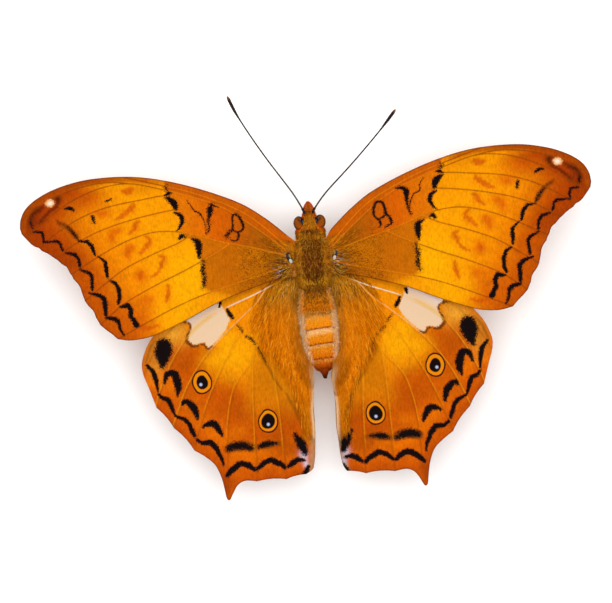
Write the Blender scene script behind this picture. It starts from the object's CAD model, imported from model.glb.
"""The looks of a life-size cruiser butterfly that basks with its wings spread flat.

Plan points are (out, fore) in millimetres: out from the wings' line of symmetry, fore towards the head.
Each marking of a wing is drawn once, as a stroke or a blot on that plan, and every wing's grid of points
keeps how far it is from them.
"""

import logging
import math
from dataclasses import dataclass, field
from enum import Enum

import bpy
import numpy as np
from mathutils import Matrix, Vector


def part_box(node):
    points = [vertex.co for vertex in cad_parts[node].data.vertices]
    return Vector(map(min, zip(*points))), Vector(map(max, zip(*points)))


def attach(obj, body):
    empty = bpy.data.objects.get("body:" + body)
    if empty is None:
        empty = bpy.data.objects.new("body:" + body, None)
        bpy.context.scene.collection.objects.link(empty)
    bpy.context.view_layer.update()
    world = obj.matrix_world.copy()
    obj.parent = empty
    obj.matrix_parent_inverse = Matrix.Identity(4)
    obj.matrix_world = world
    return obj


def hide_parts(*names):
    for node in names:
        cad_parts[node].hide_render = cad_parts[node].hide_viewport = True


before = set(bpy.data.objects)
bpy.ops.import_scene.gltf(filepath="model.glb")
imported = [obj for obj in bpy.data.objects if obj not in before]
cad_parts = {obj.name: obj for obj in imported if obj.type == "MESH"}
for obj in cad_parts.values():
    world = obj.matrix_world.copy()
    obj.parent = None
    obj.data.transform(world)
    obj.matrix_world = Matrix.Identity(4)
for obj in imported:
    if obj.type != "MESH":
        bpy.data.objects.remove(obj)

Array = np.ndarray
Material, Tree, Socket = bpy.types.Material, bpy.types.NodeTree, bpy.types.NodeSocket
Points = tuple[tuple[float, ...], ...]
Pair, Triple = tuple[float, float], tuple[float, float, float]
# A mesh's points, and its faces in blocks with equally many corners
Mesh = tuple[Array, list[Array]]
log = logging.getLogger("butterfly")
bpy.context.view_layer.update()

MM = 0.001
GRAIN = np.random.default_rng(7)
# The photograph's scale and width, and how much darker the scales are than it shows them on its white ground
PIXELS_PER_MM = 6.318
IMAGE_WIDTH = 612
EXPOSURE = 0.7
# How much lighter a tuft is than the skin, since tufts shade one another, and how light one may be at most
BLADE_GAIN, BLADE_LIMIT = 1.3, 0.92
# A way that no limb follows, which keeps the rings round a limb from twisting
UPRIGHT = (0.0, 0.13, 1.0)
# The distance kept by a wing without such marks
FAR = 9.0
# Patches on the unwrap stop a little short of its edge
PATCH = 0.99


class Side(Enum):
    """Which of a pair a piece is: the butterfly's own left is +X."""

    LEFT = 1.0
    RIGHT = -1.0

    @property
    def word(self) -> str:
        """The side's name, as the nodes have it."""
        return self.name.lower()


# Numbers that the construction shares with the solids, in millimetres
TRUNK_SHIFT = 0.4
THORAX_FRONT, THORAX_REAR = 6.4, -1.75
ABDOMEN_BEND = 0.45
HINGE_OUT = 3.0
FORE_HINGE_HEIGHT, HIND_HINGE_HEIGHT = 9.00, 7.85
WING_SLOPE, WING_DROOP, WING_PITCH = 0.09, 0.00115, 0.012
FOLD_RADIUS, FOLD_ANGLE = 1.9, 1.5
FOLD_FROM, FOLD_FULL = -2.4, -6.5
# The rolled margin beside the abdomen, as fore and out
INNER_EDGE = {
    Side.LEFT: ((-31.85, 2.05), (-29.5, 1.56), (-26.4, 1.29), (-24.0, 1.19), (-21.5, 1.2), (-19.2, 0.98),
                (-17.6, 0.84), (-16.1, 0.82), (-14.5, 1.15), (-12.3, 1.78), (-9.5, 2.08), (-6.0, 2.26),
                (-1.0, 2.2)),
    Side.RIGHT: ((-32.0, 3.03), (-29.8, 2.55), (-27.0, 2.37), (-25.0, 2.2), (-22.7, 2.27), (-21.0, 2.31),
                 (-19.5, 2.21), (-17.9, 2.05), (-16.3, 2.1), (-14.5, 2.75), (-12.3, 3.34), (-9.5, 3.38),
                 (-6.0, 3.22), (-1.0, 3.0)),
}
HINDWING_SPREAD = {Side.LEFT: 0.5, Side.RIGHT: -0.5}


# Arithmetic on arrays of points


def smooth(low: float, high: float, value: Array) -> Array:
    """0 at low, 1 at high and an S-shaped rise between, also where high is the smaller."""
    share = np.clip((value - low) / (high - low), 0, 1)
    return share * share * (3 - 2 * share)


def linear(colour: str) -> Array:
    """The linear RGB that a surface has for it to show as an sRGB hex colour in the studio's light."""
    channels = np.array([int(colour[i:i + 2], 16) / 255 for i in (0, 2, 4)])
    return EXPOSURE * np.where(channels <= 0.04045, channels / 12.92, ((channels + 0.055) / 1.055) ** 2.4)


def ramp(value: Array, stops: dict[float, str]) -> Array:
    """The linear colours of value, each read between the two nearest stops."""
    places = list(stops)
    colours = np.array([linear(stops[place]) for place in places])
    return np.stack([np.interp(value, places, channel) for channel in colours.T], axis=-1)


def laid_over(base: Array, colour: str, share: Array) -> Array:
    """The base colours with share of another colour laid over them."""
    return base + (linear(colour) - base) * share[..., None]


def layered(base: Array, *coats: tuple[str, Array]) -> Array:
    """The base colours with several more laid over them in turn, each a hex colour and its share."""
    for colour, share in coats:
        base = laid_over(base, colour, share)
    return base


def unit(vectors: Array) -> Array:
    """The vectors, one in each row, at a length of 1."""
    return vectors / np.linalg.norm(vectors, axis=1)[:, None]


def turned(x: Array, y: Array, angle: float) -> tuple[Array, Array]:
    """Both coordinates of points that are turned by an angle, in radians, from x towards y."""
    return x * math.cos(angle) - y * math.sin(angle), y * math.cos(angle) + x * math.sin(angle)


def once_round(sides: int) -> Array:
    """Angles an even step apart that go once round."""
    return 2 * math.pi * np.arange(sides) / sides


def curve(points: Points | Array, count: int = 0, spacing: float = 0.35) -> Array:
    """A Catmull-Rom curve through points, as count points an even run apart, or about spacing apart."""
    knots = np.asarray(points, float)
    padded = np.vstack([knots[:1], knots, knots[-1:]])
    share = np.linspace(0, 1, 24, endpoint=False)[None, :, None]
    a, b, c, d = padded[:-3, None], padded[1:-2, None], padded[2:-1, None], padded[3:, None]
    line = 0.5 * (2 * b + (c - a) * share + (2 * a - 5 * b + 4 * c - d) * share ** 2
                  + (3 * b - a - 3 * c + d) * share ** 3)
    return evenly(np.vstack([line.reshape(-1, knots.shape[1]), knots[-1:]]), count, spacing)


def evenly(line: Array, count: int = 0, spacing: float = 0.35) -> Array:
    """The polyline's points moved so that they are an even run apart."""
    run = np.concatenate([[0], np.cumsum(np.linalg.norm(np.diff(line, axis=0), axis=1))])
    count = count or max(2, round(run[-1] / spacing) + 1)
    even = np.linspace(0, run[-1], count)
    return np.column_stack([np.interp(even, run, column) for column in line.T])


def path_distance(spots: Array, path: Array, reach: float = 60.0) -> tuple[Array, Array]:
    """How far spots are from a path.

    Args:
        spots: points, one in each row.
        path: the polyline's points.
        reach: spots further than this from the path's own box are given this distance.

    Returns:
        Each spot's distance, and how far along the path, from 0 to 1, its nearest place is.
    """
    away, along = np.full(len(spots), reach), np.zeros(len(spots))
    near = np.all((spots > path.min(0) - reach) & (spots < path.max(0) + reach), axis=1)
    close, best, where = spots[near], away[near], along[near]
    steps = np.diff(path, axis=0)
    lengths = np.linalg.norm(steps, axis=1)
    runs = np.concatenate([[0], np.cumsum(lengths)]) / max(lengths.sum(), 1e-9)
    for start, step, length, before, after in zip(path, steps, lengths, runs, runs[1:], strict=False):
        share = np.clip((close - start) @ step / max(length ** 2, 1e-12), 0, 1)
        distance = np.linalg.norm(close - start - share[:, None] * step, axis=1)
        nearer = distance < best
        best = np.where(nearer, distance, best)
        where = np.where(nearer, before + (after - before) * share, where)
    away[near], along[near] = best, where
    return away, along


def gap(spots: Array, edge: Points, reach: float = 60.0) -> Array:
    """How far spots are from the curve through an edge's or a vein's points."""
    return path_distance(spots, curve(edge, spacing=0.8), reach)[0]


def within(spots: Array, outline: Array) -> Array:
    """Signed distance to a closed outline, negative inside it."""
    closed = np.vstack([outline, outline[:1]])
    away, _ = path_distance(spots, closed)
    inside = np.zeros(len(spots), bool)
    for (ax, ay), (bx, by) in zip(closed, closed[1:], strict=False):
        crosses = (ay > spots[:, 1]) != (by > spots[:, 1])
        height = by - ay if by != ay else 1e-12
        inside ^= crosses & (spots[:, 0] < ax + (bx - ax) * (spots[:, 1] - ay) / height)
    return np.where(inside, -away, away)


def ripple(spots: Array, size: float, seed: float) -> Array:
    """A smooth wander between about -1 and 1: sines that cross at three angles, in waves about size long."""
    x, y = spots[:, 0] / size * 2 * math.pi, spots[:, 1] / size * 2 * math.pi
    return (np.sin(x + 1.7 * np.sin(0.61 * y + seed)) + np.sin(0.83 * y - 0.52 * x + 2 * seed)
            + np.sin(0.57 * x + 0.71 * y + 1.3 * np.sin(0.47 * x - seed))) / 3


@dataclass(frozen=True)
class Stroke:
    """A mark: a line of changing width through a few points. Less crisp, its edge breaks up into flecks."""

    points: Points
    widths: tuple[float, ...]
    crisp: float = 1.0
    sharp: bool = False
    reach: float = 2.5

    def distance(self, spots: Array) -> Array:
        """Signed distance to the mark's edge: to the line, less half the width where it is nearest."""
        path = np.array(self.points) if self.sharp else curve(self.points, spacing=0.3)
        away, along = path_distance(spots, path, self.reach)
        edge = away - 0.5 * np.interp(along, np.linspace(0, 1, len(self.widths)), self.widths)
        return edge * self.crisp


def hook(points: Points, widths: tuple[float, ...]) -> Stroke:
    """A nearly crisp stroke with corners, as the hooks and crescents in the wings' rows are."""
    return Stroke(points, widths, 0.9, True)


def drawn(spots: Array, strokes: tuple[Stroke, ...]) -> Array:
    """Signed distance to the nearest of several strokes."""
    return np.min([stroke.distance(spots) for stroke in strokes], axis=0)


def glow(spots: Array, *blots: tuple[float, float, float, float, float]) -> Array:
    """Soft blots, each out, fore, its radii along both and its strength, summed and kept below 1."""
    total = np.zeros(len(spots))
    for out, fore, wide, tall, strength in blots:
        total += strength * np.exp(-((spots[:, 0] - out) / wide) ** 2 - ((spots[:, 1] - fore) / tall) ** 2)
    return np.clip(total, 0, 1)


# Meshes


@dataclass
class Shape:
    """A mesh in the making: points in millimetres, faces, and what each point keeps."""

    points: Array
    faces: list[Array]
    values: dict[str, Array] = field(default_factory=dict)
    slots: Array | None = None
    bake: Array | None = None
    corner_bake: Array | None = None

    def piece(self, name: str, materials: list[Material], *nodes: str, slot: str) -> None:
        """Puts the shape into the scene, where it rides on the butterfly's one body.

        Args:
            name: the piece's name.
            materials: one for each number in slots.
            nodes: the solids that the piece stands for.
            slot: the record's material slot that it goes by.
        """
        mesh = bpy.data.meshes.new(name)
        sizes = np.concatenate([np.full(len(block), block.shape[1]) for block in self.faces])
        corners = np.concatenate([block.ravel() for block in self.faces])
        mesh.vertices.add(len(self.points))
        mesh.vertices.foreach_set("co", (self.points * MM).astype(np.float32).ravel())
        mesh.loops.add(len(corners))
        mesh.loops.foreach_set("vertex_index", corners.astype(np.int32))
        mesh.polygons.add(len(sizes))
        starts = np.concatenate([[0], np.cumsum(sizes)[:-1]])
        mesh.polygons.foreach_set("loop_start", starts.astype(np.int32))
        mesh.polygons.foreach_set("loop_total", sizes.astype(np.int32))
        if self.slots is not None:
            mesh.polygons.foreach_set("material_index", self.slots.astype(np.int32))
        for key, value in self.values.items():
            colour = value.ndim == 2
            kept = mesh.attributes.new(key, "FLOAT_COLOR" if colour else "FLOAT", "POINT")
            rows = np.column_stack([value, np.ones(len(value))]) if colour else value
            kept.data.foreach_set("color" if colour else "value", rows.astype(np.float32).ravel())
        if self.bake is not None or self.corner_bake is not None:
            layer = mesh.uv_layers.new(name="OFBake")
            places = self.corner_bake if self.bake is None else self.bake[corners]
            layer.data.foreach_set("uv", places.astype(np.float32).ravel())
        mesh.update(calc_edges=True)
        mesh.validate()
        mesh.shade_smooth()
        for material in materials:
            mesh.materials.append(material)
        obj = bpy.data.objects.new(name, mesh)
        bpy.context.scene.collection.objects.link(obj)
        if nodes:
            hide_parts(*nodes)
        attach(obj, "root")
        log.info("%s: %d triangles", name, int((sizes - 2).sum()))


def add_tinted(points: Array, faces: list[Array], tint: Array, name: str, material: Material, *nodes: str,
               slot: str) -> None:
    """Puts a piece of one material into the scene, a colour for each point, in place of the solids named."""
    Shape(points, faces, {"tint": tint}).piece(name, [material], *nodes, slot=slot)


def grid_faces(rows: int, columns: int, first: int = 0, around: bool = False) -> Array:
    """Quads between the rows and columns of a grid of points, closed on itself where it goes around."""
    index = np.arange(rows * columns).reshape(rows, columns) + first
    if around:
        index = np.column_stack([index, index[:, :1]])
    return np.stack([index[:-1, :-1], index[1:, :-1], index[1:, 1:], index[:-1, 1:]], axis=-1).reshape(-1, 4)


def closed_tube(rings: Array, flipped: bool = False) -> Mesh:
    """A tube of rings, with a fan to a middle point at either end.

    Args:
        rings: points in an array of ring by point by axis, that go round the same way.
        flipped: whether the rings go round the way that turns the faces inwards.

    Returns:
        The points, and the faces' blocks.
    """
    count, sides, _ = rings.shape
    points = np.vstack([rings.reshape(-1, 3), rings[0].mean(0), rings[-1].mean(0)])
    index = np.arange(sides)
    after = np.roll(index, -1)
    front = np.stack([np.full(sides, count * sides), after, index], axis=1)
    rear = np.stack([np.full(sides, count * sides + 1), index, after], axis=1)
    rear[:, 1:] += (count - 1) * sides
    faces = [grid_faces(count, sides, around=True), front[:, ::-1].copy(), rear[:, ::-1].copy()]
    return points, [block[:, ::-1].copy() for block in faces] if flipped else faces


def tube(path: Array, radii: Array, sides: int, across: Array | None = None) -> Mesh:
    """A round limb along a path: rings square to it, each with its radius.

    Args:
        path: the middle line's points.
        radii: the radius at each.
        sides: how many points each ring has.
        across: the way that the rings start from, or none for one that is square to a fixed upright.

    Returns:
        The points, and the faces' blocks.
    """
    along = unit(np.gradient(path, axis=0))
    if across is None:
        across = unit(np.cross(along, UPRIGHT))
    up = np.cross(across, along)
    angle = once_round(sides)
    return closed_tube(path[:, None] + radii[:, None, None] * (
        across[:, None] * np.cos(angle)[None, :, None] + up[:, None] * np.sin(angle)[None, :, None]))


def ellipsoid(centre: Array, radii: Array, rows: int, sides: int, pole: float, lean: float = 0.0) -> Mesh:
    """A closed ellipsoid: rings from pole to pole, at even angles down from the top.

    Args:
        centre: its middle.
        radii: its half sizes along x, y and z.
        rows: how many rings it has.
        sides: how many points each ring has.
        pole: the angle from the top to the first ring, in radians.
        lean: how far it is turned about the upright, in radians.

    Returns:
        The points, and the faces' blocks.
    """
    down, turn = np.meshgrid(np.linspace(pole, math.pi - pole, rows), once_round(sides), indexing="ij")
    x, y, z = (np.sin(down) * np.cos(turn) * radii[0], np.sin(down) * np.sin(turn) * radii[1],
               np.cos(down) * radii[2])
    return closed_tube(np.stack([*turned(x, y, lean), z], axis=-1) + centre)


def capped(values: Array) -> Array:
    """What a closed tube's points keep, with the first and last again for the middle points of its ends."""
    return np.vstack([values, values[:1], values[-1:]])


# Materials


def node(tree: Tree, kind: str, inputs: dict | None = None, **settings: object) -> bpy.types.Node:
    """Adds one node.

    Args:
        tree: the material's nodes.
        kind: Blender's name for the node, without the ShaderNode that it starts with.
        inputs: socket names or numbers, each with a value or the output socket to link from.
        settings: the node's own properties.

    Returns:
        The new node.
    """
    made = tree.nodes.new("ShaderNode" + kind)
    for key, value in settings.items():
        setattr(made, key, value)
    for key, value in (inputs or {}).items():
        if isinstance(value, Socket):
            tree.links.new(value, made.inputs[key])
        else:
            made.inputs[key].default_value = value
    return made


@dataclass(frozen=True)
class Finish:
    """A surface of scales, hair or cuticle whose colour the mesh keeps, broken up by two sizes of grain.

    fine_mm and coarse_mm are the sizes of the grains. A stretch below 1 draws the fine one out on its axis.
    """

    name: str
    roughness: float
    fine_mm: float = 0.22
    coarse_mm: float = 1.2
    contrast: float = 0.22
    bump_mm: float = 0.03
    sheen: float = 0.0
    specular: float = 0.25
    stretch: Triple = (1.0, 1.0, 1.0)

    def build(self) -> Material:
        """The material, with its colour from the mesh's attribute named tint."""
        material, tree, shader = self.blank()
        place = node(tree, "TexCoord").outputs["Object"]
        colour, height = self.grain(tree, place, self.kept(tree, "tint", "Color"))
        self.link(tree, shader, colour, height)
        return material

    def blank(self) -> tuple[Material, Tree, bpy.types.Node]:
        """A new material with its constants set on the shader."""
        material = bpy.data.materials.new(self.name)
        material.use_nodes = True
        shader = material.node_tree.nodes["Principled BSDF"]
        shader.inputs["Roughness"].default_value = self.roughness
        shader.inputs["Specular IOR Level"].default_value = self.specular
        shader.inputs["Sheen Weight"].default_value = self.sheen
        shader.inputs["Sheen Roughness"].default_value = 0.4
        return material, material.node_tree, shader

    def kept(self, tree: Tree, name: str, output: str = "Fac") -> Socket:
        """What the mesh keeps under a name."""
        return node(tree, "Attribute", attribute_name=name).outputs[output]

    def grain(self, tree: Tree, place: Socket, tint: Socket) -> tuple[Socket, Socket]:
        """The tint made darker and lighter by the grain, and the fine grain's height."""
        drawn_out = node(tree, "VectorMath", {0: place, 1: self.stretch}, operation="MULTIPLY")
        fine = node(tree, "TexNoise", {"Vector": drawn_out.outputs[0], "Scale": 1 / (self.fine_mm * MM),
                                       "Detail": 3.0, "Roughness": 0.7})
        coarse = node(tree, "TexNoise", {"Vector": place, "Scale": 1 / (self.coarse_mm * MM), "Detail": 2.0})
        both = node(tree, "Math", {0: coarse.outputs[0], 1: 0.3, 2: fine.outputs[0]},
                    operation="MULTIPLY_ADD")
        value = node(tree, "MapRange", {"Value": both.outputs[0], "From Min": 0.45, "From Max": 0.85,
                                        "To Min": 1 - self.contrast, "To Max": 1 + self.contrast})
        shaded = node(tree, "VectorMath", {0: tint, "Scale": value.outputs[0]}, operation="SCALE")
        return shaded.outputs[0], fine.outputs[0]

    def link(self, tree: Tree, shader: bpy.types.Node, colour: Socket, height: Socket) -> None:
        """Links a colour, and a height through a bump, to the shader."""
        tree.links.new(colour, shader.inputs["Base Color"])
        bump = node(tree, "Bump", {"Height": height, "Distance": self.bump_mm * MM, "Strength": 0.8})
        tree.links.new(bump.outputs[0], shader.inputs["Normal"])


@dataclass(frozen=True)
class WingScales(Finish):
    """A membrane shingled with scales: marks with ragged edges over a tint, as real scales end one by one.

    Real scales are about 0.1 mm long. scale_mm draws them a little larger, so that the edges show them.
    """

    scale_mm: float = 0.17
    ink: str = "140A0A"
    ring: str = "F08A06"
    halo: str = "2A1008"
    glint: str = "C9CCF5"
    speck: str = "4A2204"
    ragged_mm: float = 0.16

    def build(self) -> Material:
        """The material, with its marks from the distances that the wing's mesh keeps."""
        material, tree, shader = self.blank()
        place = node(tree, "TexCoord").outputs["Object"]
        colour, height = self.grain(tree, place, self.kept(tree, "tint", "Color"))
        scales = node(tree, "TexNoise", {"Vector": place, "Scale": 1 / (self.scale_mm * MM), "Detail": 2.0,
                                         "Roughness": 0.7}).outputs[0]
        flecks = node(tree, "Math", {0: self.kept(tree, "dusk"), 1: scales}, operation="MULTIPLY")
        fleck = self.step(tree, flecks.outputs[0], 0.42, 0.53)
        colour = self.over(tree, fleck, colour, self.speck)
        pale = self.kept(tree, "pale_tint", "Color")
        for name, paint, soft in (("pale", pale, 0.1), ("ink", self.ink, 0.07)):
            # The noise lies about its mean of a half, so half of what it adds to the distance is the edge
            ragged = node(tree, "Math", {0: scales, 1: self.ragged_mm * 5,
                                         2: self.kept(tree, name)}, operation="MULTIPLY_ADD")
            edge = self.ragged_mm * 2.5
            colour = self.over(tree, self.step(tree, ragged.outputs[0], edge + soft, edge - soft), colour,
                               paint)
        # The eyespots' halo, ring and pupil from the outside inwards, then their glint
        spot, glint = self.kept(tree, "spot"), self.kept(tree, "glint")
        inked = node(tree, "Math", {0: scales, 1: 0.08, 2: spot}, operation="MULTIPLY_ADD").outputs[0]
        for value, low, high, paint in ((inked, 1.22, 1.13, self.halo), (inked, 1.05, 0.98, self.ring),
                                        (inked, 0.68, 0.6, self.ink), (glint, 0.12, -0.1, self.glint)):
            colour = self.over(tree, self.step(tree, value, low, high), colour, paint)
        self.link(tree, shader, colour, height)
        return material

    def step(self, tree: Tree, value: Socket, low: float, high: float) -> Socket:
        """0 at low and 1 at high, held beyond them."""
        return node(tree, "MapRange", {"Value": value, "From Min": low, "From Max": high}).outputs[0]

    def over(self, tree: Tree, share: Socket, colour: Socket, paint: str | Socket) -> Socket:
        """A hex colour, or a socket's, laid over another by share."""
        over = (*linear(paint), 1) if isinstance(paint, str) else paint
        return node(tree, "Mix", {0: share, 6: colour, 7: over}, data_type="RGBA").outputs[2]


@dataclass(frozen=True)
class EyeFacets(Finish):
    """A compound eye: small clear lenses packed in a honeycomb over brown pigment, with a faint gloss."""

    facet_mm: float = 0.07
    gloss: float = 0.02

    def build(self) -> Material:
        """The material; the facets are drawn about twice their real size so that they show."""
        material, tree, shader = self.blank()
        shader.inputs["Coat Weight"].default_value = self.gloss
        shader.inputs["Coat Roughness"].default_value = 0.06
        place = node(tree, "TexCoord").outputs["Object"]
        cells = node(tree, "TexVoronoi", {"Vector": place, "Scale": 1 / (self.facet_mm * MM)})
        darker = node(tree, "MapRange", {"Value": cells.outputs["Distance"], "From Min": 0.1,
                                         "From Max": 0.7, "To Min": 1.15, "To Max": 0.6})
        shaded = node(tree, "VectorMath", {0: self.kept(tree, "tint", "Color"),
                                           "Scale": darker.outputs[0]}, operation="SCALE")
        height = node(tree, "Math", {0: 1.0, 1: cells.outputs["Distance"]}, operation="SUBTRACT")
        self.link(tree, shader, shaded.outputs[0], height.outputs[0])
        return material


# Placing plan points in the frame


class Plan:
    """Where plan points are in the frame, read from the thorax's own solid."""

    def __init__(self) -> None:
        """Finds the wings' line of symmetry and the thorax's middle in the frame."""
        low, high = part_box("thorax")
        self.x = (low[0] + high[0]) / 2 / MM + TRUNK_SHIFT
        self.y = (low[1] + high[1]) / 2 / MM + (THORAX_FRONT + THORAX_REAR) / 2

    def place(self, side: float, out: Array, fore: Array, height: Array) -> Array:
        """Points in the frame's millimetres, from out on the side that is +1 or -1, fore, and height."""
        return np.stack([side * out + self.x, self.y - fore, height], axis=-1)

    def trunk(self, out: Array, fore: Array, height: Array) -> Array:
        """Points whose out is to the butterfly's left of the trunk's middle."""
        return self.place(1.0, out - trunk_shift(fore), fore, height)


def trunk_shift(fore: Array) -> Array:
    """How far to the right the trunk's middle is: the abdomen bends that way, and so does the wings' gap."""
    return TRUNK_SHIFT + ABDOMEN_BEND * smooth(-4, -17, fore) * (1 - smooth(-19, -27, fore))


# Wings


def scalloped(teeth: Points, bow: float) -> Array:
    """A margin from tooth to tooth: each stretch is a parabola that bows inwards by a share of its length."""
    share = np.linspace(0, 1, 12, endpoint=False)[:, None]
    lines = []
    for start, end in zip(np.array(teeth), np.array(teeth)[1:], strict=False):
        chord = end - start
        inward = np.array([-chord[1], chord[0]])
        lines.append(start + chord * share + inward * bow * 4 * share * (1 - share))
    return np.vstack([*lines, teeth[-1]])


def coons(rear: Array, front: Array, root: Array, margin: Array) -> Array:
    """A patch between four edges: rear to front, plus root to margin, less what the corners alone give."""
    u = np.linspace(0, 1, len(rear))[:, None, None]
    v = np.linspace(0, 1, len(root))[None, :, None]
    sides = (1 - v) * rear[:, None] + v * front[:, None]
    ends = (1 - u) * root[None] + u * margin[None]
    corners = ((1 - u) * (1 - v) * root[0] + (1 - u) * v * root[-1] + u * (1 - v) * margin[0]
               + u * v * margin[-1])
    return sides + ends - corners


@dataclass
class Wing:
    """A wing: a thin curved sheet on a grid from its root to its margin, with raised veins and its marks."""

    side: Side
    plan: Plan
    upper: Material
    under: Material
    rows: int = 364
    columns: int = 229
    under_step: int = 3
    half_thickness: float = 0.1
    half_at_rim: float = 0.035
    relief: float = 0.16
    sag: float = 0.16
    root_lift: float = 0.14

    name = "wing"
    # The veins' courses on the flat plan, as the solids have them
    veins = {}
    hinge_height = 0.0
    spread = 0.0

    def edges(self) -> tuple[Array, Array, Array, Array]:
        """The wing's rear, front, root and margin on the flat plan."""
        raise NotImplementedError

    def lift(self, out: Array, fore: Array) -> tuple[Array, Array, Array]:
        """The place of flat plan points: out, fore and height of the sheet's middle."""
        reach = out - HINGE_OUT
        height = self.hinge_height + WING_SLOPE * reach - WING_DROOP * reach ** 2 + WING_PITCH * fore
        return out, fore, height

    def marks(self, spots: Array, depth: Array, vein: Array) -> dict[str, Array]:
        """What each point keeps: the tint, and the distances to the marks."""
        raise NotImplementedError

    def build(self) -> None:
        """The wing as one closed piece in place of its solid."""
        flat = coons(*self.edges())
        rows, columns, _ = flat.shape
        out, fore, height = self.lift(flat[..., 0], flat[..., 1])
        spots = np.stack([out, fore], axis=-1).reshape(-1, 2)
        plane = flat.reshape(-1, 2)

        ridge, nearest = np.zeros(len(plane)), np.full(len(plane), 60.0)
        for points in self.veins.values():
            away, along = path_distance(plane, curve(points, spacing=0.8))
            strength = np.interp(along, [0, 0.3, 0.9, 1], [1.0, 0.75, 0.45, 0.15])
            ridge = np.maximum(ridge, strength * np.exp(-(away / (0.1 + 0.13 * strength)) ** 2))
            nearest = np.minimum(nearest, away)
        rear, front, root, margin = self.edges()
        depth, _ = path_distance(plane, margin[::3])
        rim = np.min([depth, path_distance(plane, rear[::3])[0], path_distance(plane, front[::3])[0]], axis=0)

        middle = np.stack([out, fore, height], axis=-1)
        down, across = np.gradient(middle, axis=0), np.gradient(middle, axis=1)
        normal = np.cross(across, down)
        normal /= np.maximum(np.linalg.norm(normal, axis=2), 1e-9)[..., None]
        normal *= np.sign(normal[..., 2].mean())
        sink = (self.sag * (1 - np.exp(-(nearest / 1.2) ** 2)) * smooth(0, 2.5, rim)
                * smooth(0, 6, spots[:, 0] - 3))
        half = self.half_at_rim + (self.half_thickness - self.half_at_rim) * smooth(0, 0.6, rim)
        relief = self.relief * ridge * smooth(0, 0.5, rim)
        shapes = []
        for lift in (half + relief - sink, -half - 0.6 * relief - sink):
            sheet = middle + normal * lift.reshape(rows, columns, 1)
            shapes.append(self.turned(sheet.reshape(-1, 3)))
        count, coarse = rows * columns, self.under_step
        index = np.arange(count).reshape(rows, columns)
        picked = index[::coarse, ::coarse]
        below = grid_faces(*picked.shape, count)[:, ::-1]
        rim_faces = self.rim(index, picked.shape, count)
        faces = [grid_faces(rows, columns), below, rim_faces]
        if self.side is Side.LEFT:
            faces = [block[:, ::-1] for block in faces]
        kept = self.marks(spots, depth, nearest)
        values = {key: np.concatenate([value, value[picked.ravel()]]) for key, value in kept.items()}
        slots = np.concatenate([np.zeros(len(faces[0])), np.ones(len(below)), np.zeros(len(rim_faces))])
        unwrap = np.column_stack([plane[:, 0] / 100, (plane[:, 1] + 38) / 60])
        places = np.vstack([unwrap, unwrap[picked.ravel()] + [0.5, 0]])
        corner_bake = np.vstack([places[faces[0].ravel()], places[faces[1].ravel()],
                                 np.repeat(places[faces[2].min(axis=1)], 3, axis=0)])
        shape = Shape(np.vstack([shapes[0], shapes[1][picked.ravel()]]), [block.copy() for block in faces],
                      values, slots, corner_bake=corner_bake)
        name = f"{self.name}_{self.side.word}"
        shape.piece(f"{name}_membrane", [self.upper, self.under], name, slot="wing_scales")

    def rim(self, index: Array, coarse_shape: tuple[int, int], first: int) -> Array:
        """Triangles between the upper face's fine edge and the lower face's coarse one.

        Args:
            index: the upper face's point numbers, on its grid.
            coarse_shape: the lower face's rows and columns.
            first: the number of the lower face's first point.

        Returns:
            The triangles, which face outwards where the upper face's quads do.
        """
        step = self.under_step
        lower = np.arange(coarse_shape[0] * coarse_shape[1]).reshape(coarse_shape) + first
        fine, rough = (np.concatenate([grid[0, :-1], grid[:-1, -1], grid[-1, :0:-1], grid[:0:-1, 0]])
                       for grid in (index, lower))
        place = np.arange(len(fine))
        own, ahead = rough[place // step], np.roll(rough, -1)[place // step]
        sides = np.stack([fine, np.roll(fine, -1), own], axis=1)
        closing = np.stack([np.roll(fine, -1), ahead, own], axis=1)[step - 1::step]
        return np.vstack([sides, closing])

    def turned(self, points: Array) -> Array:
        """Plan points with their height, turned by the wing's spread and placed in the frame."""
        out, fore = turned(points[:, 0], points[:, 1], math.radians(self.spread))
        return self.plan.place(self.side.value, out, fore, points[:, 2])

    def surface(self, spots: Array) -> tuple[Array, Array]:
        """Points on the wing's upper face over flat plan spots, and the normals there."""
        step = 0.05
        places = []
        for right, ahead in ((0, 0), (step, 0), (0, step)):
            lifted = self.lift(spots[:, 0] + right, spots[:, 1] + ahead)
            places.append(self.turned(np.stack(lifted, axis=-1)))
        normal = unit(np.cross(places[1] - places[0], places[2] - places[0]))
        normal *= np.sign(normal[:, 2:] + 1e-9)
        return places[0] + normal * (self.half_thickness + self.root_lift), normal


# Where the forewing's veins reach its margin
FORE_TEETH = {
    "A": (31.35, -8.3), "CuA2": (34.00, -5.9), "CuA1": (36.15, -1.95), "M3": (37.9, 2.45),
    "M2": (40.1, 5.15), "M1": (42.55, 6.95), "R5": (44.65, 8.8),
}
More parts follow.
